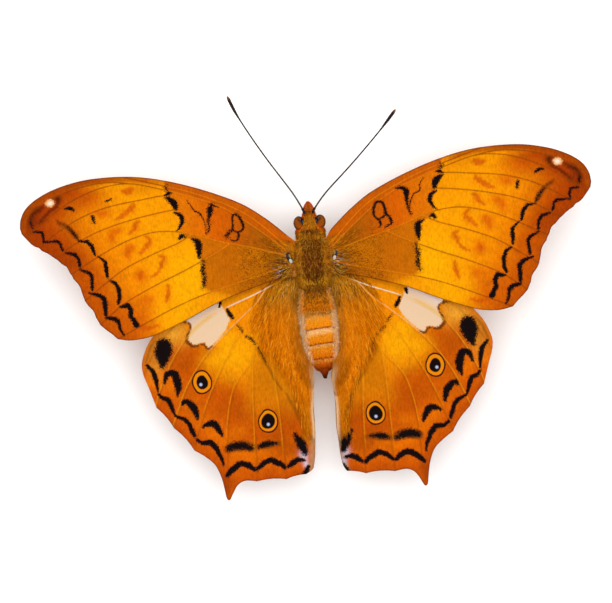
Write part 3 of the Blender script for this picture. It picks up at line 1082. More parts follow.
@dataclass
class Hindwing(Wing):
    """A hindwing, with its inner margin rolled down beside the abdomen, two eyespots and a short tail."""

    rows: int = 265
    columns: int = 310
    name = "hindwing"
    veins = HIND_VEINS
    hinge_height = HIND_HINGE_HEIGHT

    def __post_init__(self) -> None:
        """Looks up how far this side's wing is spread."""
        self.spread = HINDWING_SPREAD[self.side]

    def inner_edge(self, fore: Array) -> Array:
        """How far out the rolled margin is as seen from above."""
        return np.interp(fore, *curve(INNER_EDGE[self.side]).T)

    def edges(self) -> tuple[Array, Array, Array, Array]:
        """The inner margin, the costa, the root and the outer margin with its tail, on the flat plan."""
        root_out = 2.2 - self.side.value * TRUNK_SHIFT
        front = curve(((root_out, 0.6), *HIND_COSTA), self.rows)
        fores = np.linspace(-2.3, -31.2, 60)
        inner = np.column_stack([self.inner_edge(fores) + FOLD_RADIUS * (1 - FOLD_ANGLE), fores])
        rear = evenly(np.vstack([(root_out, -1.4), inner, HIND_TEETH["A"]]), self.rows)
        root = np.linspace(rear[0], front[0], self.columns)
        teeth = HIND_TEETH
        tornus = scalloped((teeth["A"], teeth["CuA2"], teeth["CuA1"]), 0.05)
        corner = scalloped((teeth["M2"], teeth["M1"], teeth["Rs"]), 0.05)
        margin = np.vstack([tornus[:-1], curve(HIND_TAIL)[:-1], corner])
        return rear, front, root, evenly(margin, self.columns)

    def lift(self, out: Array, fore: Array) -> tuple[Array, Array, Array]:
        """The place of flat plan points: within a bend of the inner edge the sheet goes round a cylinder.

        Its share of the full roll grows with the distance from the root, and what isn't rolled stays flat.
        """
        crease = self.inner_edge(fore) + FOLD_RADIUS
        flat = np.maximum(crease - out, 0)
        roll = smooth(FOLD_FROM, FOLD_FULL, fore)
        bend = flat / FOLD_RADIUS
        out = np.where(flat > 0, crease - roll * FOLD_RADIUS * np.sin(bend) - (1 - roll) * flat, out)
        drop = roll * FOLD_RADIUS * (1 - np.cos(bend))
        _, _, height = super().lift(out, fore)
        return out, fore, height - drop

    def marks(self, spots: Array, depth: Array, vein: Array) -> dict[str, Array]:
        """What each point keeps, as on a forewing."""
        out, fore = turned(spots[:, 0], spots[:, 1], math.radians(DRAWN_SPREAD))
        spots = np.column_stack([out, fore])
        wander = spots + 0.09 * np.column_stack([ripple(spots, 2.3, 1.4), ripple(spots, 2.9, 0.7)])
        edge = self.inner_edge(fore)
        ochre = glow(spots, (22.3, -8.4, 2.6, 2.2, 1), (25.6, -12.5, 1.6, 3, 0.7))
        hair = smooth(10.5, 7.0, out + 0.22 * (fore + 8)) * smooth(-25, -18, fore)
        shade = drawn(wander, HIND_SHADES)
        flecks = drawn(wander + 0.14 * ripple(spots, 0.6, 2.0)[:, None], HIND_FLECKS)
        tint = layered(
            ramp(depth + 0.6 * ripple(spots, 3.3, 0.9), {
                0: "BE4C02", 1: "CC5502", 2.6: "D86002", 4: "E46C00", 5.5: "DC6202", 8: "CA5200",
                10.5: "C65200", 13: "E07402", 15.5: "F28E02", 18: "F69802", 23: "EE8802"}),
            ("FCA602", glow(spots, (12.8, -13, 3.6, 3.2, 1), (14, -9.2, 2, 1.8, 0.9),
                            (16.6, -13.4, 2.2, 1.4, 0.5))),
            ("F29202", glow(spots, (15, -15.2, 2, 1.6, 0.6), (12, -3.9, 4.5, 1.4, 0.9))),
            ("BA5000", glow(spots, (21.3, -13.3, 2.2, 1.7, 0.9), (20.9, -17.8, 1.6, 2.6, 0.6),
                            (16.6, -20.8, 4, 1.8, 0.5), (12.6, -21.6, 2.2, 2.6, 0.55))),
            ("F48A02", glow(spots, (11.2, -7.6, 2.8, 2, 0.95), (12.8, -24.7, 1.6, 0.9, 0.25))),
            ("F47E02", glow(spots, (8.7, -18.4, 2.4, 3.4, 0.95))),
            ("EFA02A", ochre * smooth(19.4, 20.6, out)),
            ("C06A18", 0.8 * glow(spots, (25.9, -12.2, 0.9, 1.8, 1))),
            ("AC4600", 0.75 * glow(spots, (4.7, -22.8, 2.2, 2.4, 1), (7.4, -25.9, 3, 1.1, 0.8),
                                   (5.4, -28.1, 2.8, 1.3, 1.3), (13, -25.8, 2.2, 0.7, 0.4))),
            ("A03A04", 0.8 * glow(spots, (15.9, -33.2, 1.3, 2.2, 1))),
            ("CE7402", 0.9 * hair),
            ("DE8204", 0.8 * glow(spots, (4.6, -15.5, 0.9, 5, 1))),
            ("C87812", 0.7 * smooth(2.4, 0.8, out - edge) * smooth(-28.5, -26, fore)),
            ("C8A070", 0.7 * smooth(0.9, 0.1, out - edge) * smooth(-14, -17, fore)),
            ("6A3A06", 0.65 * smooth(0.35, -0.25, shade)),
            ("D6C4D2", glow(spots, (3.1, -29.1, 0.65, 0.85, 1), (2.8, -30.6, 0.4, 0.7, 0.9))),
            ("4A2A0C", 0.85 * smooth(0.12, -0.2, flecks + 0.16 * ripple(spots, 0.45, 0.5))),
            ("A04804", 0.45 * smooth(0.22, 0.06, vein) * smooth(20, 6, depth)))
        # The two fore veins are pale near the root, then yellow, and the others are yellow all along
        for name, paint, far_out, wide, strong in (("Rs", "F6E6CE", 14.5, 0.12, 0.9),
                                                   ("M1", "EDBE8C", 17.5, 0.09, 0.6)):
            away = gap(spots, HIND_VEINS[name], VEIN_REACH)
            shown = smooth(far_out, far_out - 1.5, out) * smooth(6.0, 7.5, out)
            tint = layered(tint, (paint, strong * smooth(wide, 0.4 * wide, away) * shown),
                           ("F0A21C", 0.5 * smooth(0.14, 0.05, away) * smooth(far_out - 1, far_out, out)))
        link, _ = path_distance(spots, curve(CELL_END, spacing=0.4), VEIN_REACH)
        tint = laid_over(tint, "B8780A", 0.6 * smooth(0.15, 0.04, link))
        for name in ("M3", "CuA1", "M2", "CuA2"):
            away = gap(spots, HIND_VEINS[name], VEIN_REACH)
            tint = laid_over(tint, "EC9A10", 0.5 * smooth(0.13, 0.05, away) * smooth(2.5, 7, depth))
        tint = laid_over(tint, "7A2C08", 0.7 * smooth(0.24, 0.04, depth))
        hinge = glow(spots, (4.6, -2, 1.5, 2, 1))
        dusk = np.maximum(0.5 * hair * smooth(-12, -5, fore), 0.8 * hinge)
        dusk = np.maximum(dusk, 0.45 * glow(spots, (13, -20.5, 4, 2.4, 1), (22, -13.2, 1.8, 1.3, 1)))
        cool = smooth(-1.2, 0.2, fore + 4.0 + 0.62 * (out - 15.5)) * smooth(13.5, 15.5, out)
        streak = smooth(0.5, 0.1, gap(spots, HIND_VEINS["Rs"], VEIN_REACH)) * smooth(14.5, 17.0, out)
        white = layered(np.tile(linear("F0CCA6"), (len(spots), 1)), ("F6E6E4", 0.6 * cool),
                        ("F0B84A", 0.6 * streak))
        return {"tint": tint, "dusk": dusk, "ink": drawn(wander, HIND_INK), "pale_tint": white,
                "pale": within(wander, curve(HIND_WHITE, spacing=0.5)),
                "spot": np.min([eyespot.place(wander) for eyespot in EYESPOTS], axis=0),
                "glint": np.min([eyespot.shine(spots) for eyespot in EYESPOTS], axis=0)}


# The coat


@dataclass
class Coat:
    """Tufts of hair: tapered blades with three sides, rooted in a skin and bent along it."""

    hair: Material
    slot: str = "thorax_fur"
    stations: int = 3

    def grow(self, name: str, roots: Array, normals: Array, flow: Array, length: Array, width: float,
             tint: Array, patch: Array, rise: float | Array, droop: float) -> None:
        """Adds blades along a parabola: out from the root along the flow, up by rise and back down by droop.

        Args:
            name: the piece's name.
            roots: where the tufts grow, in the frame's millimetres.
            normals: the skin's normals there.
            flow: the way each tuft lies.
            length: each tuft's length.
            width: the tufts' width at their roots.
            tint: each tuft's linear colour.
            patch: each root's place on the unwrap, from 0 to 1.
            rise: how steeply tufts leave the skin, as a share of their length.
            droop: how far their tips come back down.
        """
        count = len(roots)
        flow = unit(flow - normals * (flow * normals).sum(1)[:, None])
        across = np.cross(normals, flow)
        share = np.linspace(0, 1, self.stations)
        climb = np.reshape(rise, (-1, 1)) * share - droop * share ** 2
        line = (roots[:, None] - 0.03 * normals[:, None] + flow[:, None]
                * (length[:, None] * share)[..., None]
                + normals[:, None] * (length[:, None] * climb)[..., None])
        taper = (1 - share[:-1] ** 1.6) * 0.5
        angle = np.array([math.pi / 2, math.pi * 7 / 6, math.pi * 11 / 6])
        spread = (across[:, None] * np.cos(angle)[None, :, None] + 0.45 * normals[:, None]
                  * np.sin(angle)[None, :, None])
        rings = line[:, :-1, None] + spread[:, None] * (width * taper)[:, None, None]
        points = np.concatenate([rings.reshape(count, -1, 3), line[:, -1:]], axis=1)
        each = points.shape[1]
        faces = [[0, 2, 1]]
        for station in range(self.stations - 2):
            for k in range(3):
                a, b = 3 * station + k, 3 * station + (k + 1) % 3
                faces += [[a, b, b + 3], [a, b + 3, a + 3]]
        last = 3 * (self.stations - 2)
        faces += [[last + k, last + (k + 1) % 3, each - 1] for k in range(3)]
        every = (np.array(faces)[None] + each * np.arange(count)[:, None, None]).reshape(-1, 3)
        colours = np.repeat(tint, each, axis=0)
        shade = BLADE_GAIN * np.tile(np.linspace(0.75, 1.15, each), count)
        corner = np.arange(each)
        spot = np.column_stack([corner % 3 / 3, corner // 3 / self.stations]) * 0.003
        bake = (PATCH * patch[:, None] + spot[None]).reshape(-1, 2)
        tints = colours * shade[:, None]
        tints /= np.maximum(tints.max(axis=1, keepdims=True) / BLADE_LIMIT, 1)
        tufts = Shape(points.reshape(-1, 3), [every], {"tint": tints}, bake=bake)
        tufts.piece(name, [self.hair], slot=self.slot)


def scatter(count: int, low: Pair, high: Pair) -> Array:
    """Random points in a box of two sides."""
    return np.array(low) + GRAIN.random((count, 2)) * (np.array(high) - np.array(low))


# The trunk: fore, half width, half height, height of the middle, and how deep the coat is there
TRUNK = (
    (9.45, 0.3, 0.34, 7.98), (9.15, 0.8, 0.88, 7.95), (8.6, 1.12, 1.26, 7.92), (7.8, 1.22, 1.4, 7.9),
    (7.15, 1.68, 1.38, 7.85), (6.75, 1.94, 1.4, 7.8), (6.4, 2.04, 1.56, 7.75), (5.95, 2.12, 1.92, 7.66),
    (4.8, 2.26, 2.46, 7.5), (3.1, 2.52, 2.82, 7.42), (1.2, 2.62, 2.9, 7.4), (-0.4, 2.46, 2.66, 7.35),
    (-1.6, 2.12, 2.28, 7.22), (-2.1, 2.04, 2.16, 7.14), (-3.00, 2.2, 2.2, 7.08), (-4.6, 2.44, 2.3, 6.96),
    (-6.7, 2.68, 2.36, 6.82), (-9.4, 2.74, 2.36, 6.62), (-11.8, 2.6, 2.2, 6.42), (-14.1, 2.1, 1.8, 6.18),
    (-15.45, 1.42, 1.3, 6.00), (-16.2, 0.66, 0.74, 5.88), (-17.05, 0.2, 0.24, 5.8),
)
# Where each ring of the abdomen ends, and where the first begins and the last would end
SEGMENTS = (-2.9, -4.7, -6.7, -9.5, -11.9, -14.2, -15.8)
FIRST_RING, LAST_RING = -1.2, -17.2
# The length that the coat's patches on the unwrap span
COAT_LENGTH = 27


@dataclass(frozen=True)
class Stretch:
    """One stretch of the trunk's coat, in millimetres, and in radians down from the middle of the back.

    Rise and droop are shares of the length, splay leans the tufts outwards, and contrast is how their tints
    differ. Sooty and gilt are the shares of the tufts that are nearly black and pale gold, wild is how far
    their ways differ, gain makes them brighter than the skin, and lifted turns them up to the sky.
    The slot is the record's material.
    """

    name: str
    count: int
    span: Pair
    length: float
    width: float
    rise: float
    droop: float
    arc: Pair = (0.0, math.pi)
    splay: float = 0.0
    contrast: float = 0.4
    forward: bool = False
    sooty: float = 0.0
    gilt: float = 0.0
    wild: float = 0.3
    gain: float = 1.0
    lifted: float = 0.0
    slot: str = "thorax_fur"


STRETCHES = (
    Stretch("head_hair", 6500, (6.6, 8.9), 0.45, 0.07, 0.55, 0.35, contrast=0.5, sooty=0.14, gilt=0.14),
    Stretch("brow_hair", 2600, (8.2, 9.42), 0.62, 0.08, 0.55, 0.35, forward=True, contrast=0.5, sooty=0.15),
    Stretch("collar_hair", 5200, (5.6, 7.1), 0.85, 0.1, 0.5, 0.45, splay=0.15, contrast=0.6, sooty=0.08,
            gilt=0.12),
    Stretch("ruff_hair", 2600, (5.6, 7.3), 0.8, 0.1, 0.45, 0.25, (0.8, 2.0), 0.35, 0.5),
    Stretch("thorax_hair", 16000, (5.7, -2.3), 0.9, 0.1, 0.46, 0.38, contrast=0.6, sooty=0.14, gilt=0.12,
            wild=0.45),
    Stretch("shoulder_hair", 8000, (4.9, -2.3), 0.95, 0.09, 0.85, 0.4, (0.68, 1.05), 1.5, 0.5, sooty=0.1,
            gilt=0.25, wild=0.75, gain=1.5, lifted=0.4),
    Stretch("waist_hair", 6500, (-1.9, -6.8), 0.85, 0.1, 0.34, 0.28, (0.0, 2.2), 0.1, 0.4, sooty=0.08,
            gilt=0.08),
    Stretch("flank_hair", 5200, (-2.4, -14.2), 0.95, 0.1, 0.7, 0.35, (0.85, 1.4), 0.5, 0.5, gilt=0.26,
            gain=1.6, lifted=1.2),
    Stretch("abdomen_scales", 14500, (-5.4, -16.95), 0.4, 0.15, 0.24, 0.16, contrast=0.22,
            slot="abdomen_scales"),
)


@dataclass
class Trunk:
    """Head, thorax and abdomen: one skin in rings along the body, and the coat that grows on it."""

    plan: Plan
    skin: Material
    hair: Material
    rings: int = 400
    sides: int = 120

    def profile(self, fore: Array) -> Array:
        """Half width, half height and middle height of the trunk at each fore."""
        knots = curve(np.array(TRUNK)[::-1], spacing=0.1)
        return np.column_stack([np.interp(fore, knots[:, 0], knots[:, i]) for i in (1, 2, 3)])

    def step(self, fore: Array) -> Array:
        """How proud the skin is of its mean: each segment overlaps the next with a rounded rear edge."""
        joints = np.array(SEGMENTS)
        ahead = np.searchsorted(-joints, -fore, side="left")
        start = np.array([FIRST_RING, *joints])[ahead]
        end = np.array([*joints, LAST_RING])[ahead]
        share = (start - fore) / (start - end)
        return np.where(fore < -2.5, 0.1 * share ** 0.7 - 0.24 * smooth(0.93, 1.0, share) - 0.03, 0.0)

    def at(self, fore: Array, angle: Array) -> Array:
        """Points on the skin: an ellipse at each fore, at an angle from the top towards the left."""
        wide, tall, middle = self.profile(fore).T
        proud = self.step(fore)
        out, up = (wide + proud) * np.sin(angle), (tall + proud) * np.cos(angle)
        lean = 1.5 * (trunk_shift(fore + 0.1) - trunk_shift(fore - 0.1)) / 0.2
        bow = 0.25 * np.cos(angle) * smooth(-5, -8, fore) * smooth(-16.8, -15.5, fore)
        return self.plan.trunk(out, fore + lean * out + bow,
                               middle + up * (1 - 0.06 * np.cos(angle) * (fore < -2)))

    def tint(self, fore: Array, angle: Array) -> Array:
        """The trunk's colour at each fore and angle from the top: the same for the skin and its coat."""
        turn = np.abs(np.angle(np.exp(1j * angle)))
        place = np.column_stack([fore, turn])
        collar = smooth(6.7, 6.3, fore) * smooth(5.4, 5.7, fore)
        thorax = smooth(6.1, 5.2, fore) * smooth(-2.6, -1.2, fore)
        rear = smooth(-1.2, -1.8, fore - 1.3 * turn ** 2) * smooth(-2.6, -1.9, fore)
        flank = smooth(-6.3, -7.2, fore) * smooth(-15.2, -13.5, fore)
        waist = smooth(-2.4, -3.4, fore) * smooth(-7.6, -6.8, fore)
        ragged = turn + 0.12 * ripple(place, 0.5, 0.3) + 0.07 * ripple(place, 0.17, 2.0)
        bars = smooth(0.42, 0.2, np.abs(fore + 3.2)) + smooth(0.3, 0.12, np.abs(fore + 4.1))
        cheek = smooth(6.2, 6.8, fore) * smooth(0.65, 0.92, turn) * smooth(9.2, 8.8, fore)
        tint = layered(
            ramp(-fore, {
                -9.5: "C85A0A", -8.8: "B45E08", -8: "CC7E0E", -7.6: "CC7C10", -7.1: "D67E0C", -6.6: "A85E04",
                -6.4: "743404", -6.1: "6C3004", -5.8: "A05E08", -5.4: "BA720A", -5: "8E4C06", -4.6: "783C04",
                -3.6: "7C3E04", -1: "80400A", 1: "784008", 1.5: "905004", 2: "9C5C08", 2.6: "905408",
                3.5: "AE620A", 4.6: "CC7606", 5.2: "DA7A06", 6.4: "C66C04", 6.8: "D48E34", 7.3: "DC9440",
                8: "E08C1C", 9.2: "EE8C04", 9.45: "983A0A", 9.6: "E8A868", 10.1: "EDB46E", 10.6: "E48C14",
                11.75: "DC7A02", 11.95: "9A3C08", 12.15: "DEA056", 12.6: "DE8614", 14.05: "D87002",
                14.3: "9C4208",
                14.5: "DC8E34", 15: "C45C04", 15.6: "A84602", 16.2: "822E04", 17.1: "3E0E06"}),
            ("CE8406", thorax * smooth(0.66, 0.9, turn + 0.12 * ripple(place, 1.1, 0.6))),
            ("B86A08", collar * smooth(0.6, 0.9, turn)),
            ("5A2404", 0.7 * glow(place, (6, 0, 0.24, 0.62, 1))),
            ("C07C0E", 0.85 * rear),
            ("FFDAB0", 0.95 * flank * smooth(0.78, 1.04, ragged)),
            ("5A3410", 0.6 * np.clip(bars, 0, 1) * smooth(0.75, 0.45, turn)),
            ("E4BA80", 0.65 * waist * smooth(0.85, 1.08, ragged)),
            ("D2500A", 0.9 * cheek),
            ("F0600E", 0.85 * glow(place, (8.78, 0.72, 0.3, 0.22, 1))),
            ("F0A014", 0.6 * glow(place, (7.62, 0, 0.42, 0.2, 1))),
            ("5E4A0C", 0.6 * glow(place, (9, 0, 0.3, 0.45, 1))),
            ("14101A", 0.95 * glow(place, (8.15, 0.98, 0.32, 0.22, 1))))
        tint *= 1 + 0.14 * smooth(-5.5, -7.5, fore)[..., None]
        return laid_over(tint, "D9B98A", smooth(1.7, 2.3, turn) * 0.75)

    def build(self) -> None:
        """Adds the skin and its coat."""
        fore = np.linspace(TRUNK[0][0], TRUNK[-1][0], self.rings)
        fores, angles = np.repeat(fore, self.sides), np.tile(once_round(self.sides), self.rings)
        rings = self.at(fores, angles).reshape(self.rings, self.sides, 3)
        points, faces = closed_tube(rings, flipped=True)
        add_tinted(points, faces, capped(self.tint(fores, angles)), "body_skin", self.skin, "head", "thorax",
                   "abdomen", slot="thorax_fur")
        for stretch in STRETCHES:
            self.grow(stretch)

    def grow(self, kind: Stretch) -> None:
        """Grows one stretch of the coat: tufts that lie towards the tail, or towards the head on the brow."""
        spots = scatter(kind.count, (kind.span[1], kind.arc[0]), (kind.span[0], kind.arc[1]))
        fore, turn = spots.T
        way = np.where(np.arange(kind.count) % 2, 1.0, -1.0)
        angle = way * turn
        if kind.name in ("head_hair", "brow_hair"):
            # The eyes' places stay bare
            clear = ~((np.abs(turn - 1.5) < 0.85) & (np.abs(fore - 7.62) < 1.05))
            fore, way, angle = fore[clear], way[clear], angle[clear]
        count = len(fore)
        roots = self.at(fore, angle)
        ahead, beside = self.at(fore + 0.03, angle), self.at(fore, angle + 0.02)
        normals = unit(np.cross(ahead - roots, beside - roots))
        centre = self.plan.trunk(np.zeros(count), fore, self.profile(fore)[:, 2])
        normals *= np.sign(((roots - centre) * normals).sum(1))[:, None]
        normals = unit(normals + [0.0, 0.0, kind.lifted])
        flow = (roots - ahead) / 0.03 * (-1 if kind.forward else 1)
        flow += kind.wild * GRAIN.standard_normal((count, 3)) + kind.splay * way[:, None] * [1.0, 0.0, 0.0]
        middle = fore + (0.4 if kind.forward else -0.4) * kind.length
        tint = self.tint(middle + 0.1 * GRAIN.standard_normal(count), angle)
        tint *= (kind.gain
                 * np.clip(np.exp(kind.contrast * GRAIN.standard_normal(count) - 0.04), 0.3, 2.0)[:, None])
        pick = GRAIN.random(count)
        tint = laid_over(tint, "1E1208", 0.85 * (pick < kind.sooty))
        tint = laid_over(tint, "D8A438", 0.65 * (pick > 1 - kind.gilt))
        patch = np.column_stack([(TRUNK[0][0] - fore) / COAT_LENGTH, (angle / (2 * math.pi)) % 1])
        length = kind.length * (0.65 + 0.7 * GRAIN.random(count))
        Coat(self.hair, kind.slot).grow(kind.name, roots, normals, flow, length, kind.width, tint, patch,
                                        kind.rise, kind.droop)


# Head parts, legs and feelers


# A palp: fore, half width, half height, height of the middle, and out
PALP = ((8.75, 0.3, 0.36, 6.2, 0.44), (9.3, 0.42, 0.52, 6.55, 0.42), (10.00, 0.34, 0.5, 7.1, 0.29),
        (10.5, 0.2, 0.34, 7.7, 0.15), (10.84, 0.06, 0.1, 8.2, 0.05))
FEELERS = {
    Side.LEFT: ((0.62, 8.95), (0.86, 9.65), (2.15, 12.2), (3.85, 14.9), (5.6, 17.6), (8.0, 21.6),
                (10.15, 25.6), (11.3, 28.4)),
    Side.RIGHT: ((0.62, 8.95), (0.9, 9.65), (2.95, 12.1), (6.45, 15.35), (8.9, 17.7), (12.35, 21.2),
                 (14.95, 24.15)),
}
# Where a feeler starts, how far it rises, and the run that its joints and its club are measured along
FEELER_BASE, FEELER_RISE, FEELER_RUN = 8.8, 5.35, 20.0


@dataclass
class Head:
    """Eyes, palps, feelers and the coiled proboscis, each in place of its own solid.

    joint_mm is the length of a feeler's joint, about twice the real one so that the joints show.
    """

    plan: Plan
    facets: Material
    cuticle: Material
    scales: Material
    hair: Material
    palp_rows: int = 40
    palp_sides: int = 28
    palp_hairs: int = 2200
    feeler_sides: int = 14
    joint_mm: float = 0.42
    coil_rows: int = 160

    def build(self) -> None:
        """Adds every piece of the head."""
        for side in Side:
            self.eye(side)
            self.palp(side)
            self.antenna(side)
        self.proboscis()

    def eye(self, side: Side) -> None:
        """A bulging eye: an ellipsoid in the solid's box, browner above and darker at its false pupil."""
        low, high = (np.array(corner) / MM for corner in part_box(f"eye_{side.word}"))
        centre, radii = (low + high) / 2, (high - low) / 2
        points, faces = ellipsoid(centre, radii, 48, 72, 0.06)
        local = (points - centre) / radii
        inward = -side.value * local[:, 0]
        spot = np.column_stack([inward, -local[:, 1]])
        tint = ramp(local[:, 2], {-1: "1E0C04", 0.15: "2A1004", 0.45: "6E2E04", 0.75: "924A0A", 1: "8A460A"})
        tint = laid_over(tint, "0C070C", glow(spot, (0.48, 0.36, 0.42, 0.42, 1), (0.78, 0, 0.24, 0.45, 1),
                                              (-0.05, 0.45, 0.2, 0.16, 0.6)))
        tint *= 1 + 0.5 * smooth(0.5, 0.8, local[:, 2])[:, None]
        tint = layered(tint, ("F05A10", 0.9 * glow(spot, (0.52, -0.58, 0.62, 0.22, 1))),
                       ("94A6BC", 0.85 * glow(spot, (0.76, 0.18, 0.12, 0.2, 1), (0.3, 0.5, 0.07, 0.1, 0.7))))
        name = f"eye_{side.word}"
        add_tinted(points, faces, tint, f"{name}_facets", self.facets, name, slot="eye_facets")

    def palp(self, side: Side) -> None:
        """A palp: a curved cone of rusty scales, with short hair below and beside it."""
        rows, sides, count = self.palp_rows, self.palp_sides, self.palp_hairs
        line = curve(PALP, rows)
        angles = np.tile(once_round(sides), rows)
        fore, wide, tall, middle, out = (np.repeat(column, sides) for column in line.T)
        points = self.plan.trunk(side.value * out + wide * np.sin(angles), fore,
                                 middle + tall * np.cos(angles))
        shaped, faces = closed_tube(points.reshape(rows, sides, 3))
        tint = ramp(line[:, 0], {8.75: "C46A10", 9.6: "EE8420", 10.4: "DC6614", 10.9: "9A3A0A"})
        name = f"palp_{side.word}"
        add_tinted(shaped, faces, capped(np.repeat(tint, sides, axis=0)), f"{name}_skin", self.scales, name,
                   slot="thorax_fur")
        row, turn = GRAIN.random(count) * 0.97, GRAIN.random(count) * 2 * math.pi
        at = np.column_stack([np.interp(row * (rows - 1), np.arange(rows), column) for column in line.T])
        roots = self.plan.trunk(side.value * at[:, 4] + at[:, 1] * np.sin(turn), at[:, 0],
                                at[:, 3] + at[:, 2] * np.cos(turn))
        normals = np.column_stack([np.sin(turn), np.zeros(count), np.cos(turn)])
        # The hair points to a place a little before and above the tips
        tip = self.plan.trunk(np.array([0.0]), np.array([11.3]), np.array([8.7]))
        ahead = unit(tip - roots) + 0.22 * GRAIN.standard_normal((count, 3))
        colours = ramp(at[:, 0], {8.75: "E8741C", 9.6: "F0661A", 10.3: "E85E18", 10.9: "B04E12"})
        inner = smooth(0.6, 0.0, side.value * np.sin(turn))
        colours = laid_over(colours, "FFC058", 0.95 * inner * smooth(10.7, 10.2, at[:, 0]))
        colours = laid_over(colours, "3E3408", 0.8 * (GRAIN.random(count) < 0.16))
        colours *= np.clip(np.exp(0.3 * GRAIN.standard_normal(count)), 0.35, 2)[:, None]
        patch = np.column_stack([row, turn / (2 * math.pi)])
        length = (0.36 + 0.25 * GRAIN.random(count)) * (1 - 0.6 * row ** 2)
        Coat(self.hair).grow(f"{name}_hair", roots, normals, ahead, length, 0.085, colours, patch, 0.4, 0.3)

    def antenna(self, side: Side) -> None:
        """A feeler: a thin jointed shaft that thickens into a slim club, on a round socket."""
        line = curve(FEELERS[side], 420)
        share = np.linspace(0, 1, len(line))
        path = self.plan.trunk(side.value * line[:, 0], line[:, 1], FEELER_BASE + FEELER_RISE * share)
        run = FEELER_RUN * share
        club = smooth(FEELER_RUN - 4.2, FEELER_RUN - 1.4, run)
        radius = 0.125 + 0.14 * club
        radius *= 1 - 0.1 * np.abs(np.sin(math.pi * run / self.joint_mm)) ** 6
        radius *= np.sqrt(np.clip((FEELER_RUN + 0.05 - run) / 0.5, 0.02, 1))
        radius += 0.09 * smooth(1.15, 0.75, run)
        points, faces = tube(path, radius, self.feeler_sides)
        pale = 0.5 * (np.sin(2 * math.pi * run / self.joint_mm) > 0.4)
        tint = laid_over(np.tile(linear("1C1010"), (len(line), 1)), "4E3228", pale * (1 - 0.6 * club))
        tint = laid_over(tint, "8A4A1E", smooth(19.3, 19.9, run))
        name = f"antenna_{side.word}"
        add_tinted(points, faces, capped(np.repeat(tint, self.feeler_sides, axis=0)), f"{name}_shaft",
                   self.cuticle, name, slot="antenna_cuticle")

    def proboscis(self) -> None:
        """The coiled proboscis: an even spiral in the upright plane between the palps, ringed finely."""
        turns = np.linspace(0, 1, self.coil_rows)
        angle = math.pi / 2 + 2 * math.pi * 1.1 * turns
        reach = 1.05 + (0.34 - 1.05) * turns
        middle = np.zeros(self.coil_rows)
        path = self.plan.trunk(middle, 7.95 + reach * np.cos(angle), 4.95 + reach * np.sin(angle))
        radius = (0.19 - 0.06 * turns) * (1 - 0.06 * np.cos(math.pi * turns * 90) ** 2)
        points, faces = tube(path, radius, 12, np.tile([1.0, 0.0, 0.0], (self.coil_rows, 1)))
        tint = np.tile(linear("4A2A16"), (len(points), 1))
        add_tinted(points, faces, tint, "proboscis_coil", self.cuticle, "proboscis", slot="antenna_cuticle")


# Each leg from the body to the foot: out, fore, height and radius
LEG_PATHS = {
    "foreleg": ((0.95, 5.1, 4.55, 0.3), (1.25, 6.1, 3.95, 0.36), (1.15, 7.1, 4.15, 0.26),
                (0.95, 8.3, 4.95, 0.22), (0.85, 9.15, 5.7, 0.12)),
    "midleg": ((1.55, 2.6, 4.1, 0.46), (2.9, 3.1, 4.55, 0.44), (5.6, 4.2, 6.2, 0.26),
               (6.2, 4.5, 5.85, 0.22), (7.75, 5.85, 1.25, 0.15), (7.98, 6.15, 0.55, 0.14),
               (8.35, 6.75, 0.22, 0.15), (9.00, 7.85, 0.18, 0.13), (9.55, 8.85, 0.17, 0.12),
               (9.82, 9.35, 0.14, 0.08)),
    "hindleg": ((1.45, -0.6, 4.1, 0.46), (2.7, -1.5, 4.45, 0.44), (5.00, -3.9, 5.9, 0.26),
                (5.4, -4.5, 5.6, 0.22), (7.1, -7.75, 1.25, 0.15), (7.32, -8.15, 0.55, 0.14),
                (7.6, -8.85, 0.22, 0.15), (8.15, -10.3, 0.18, 0.13), (8.6, -11.5, 0.17, 0.12),
                (8.78, -12.1, 0.14, 0.08)),
}


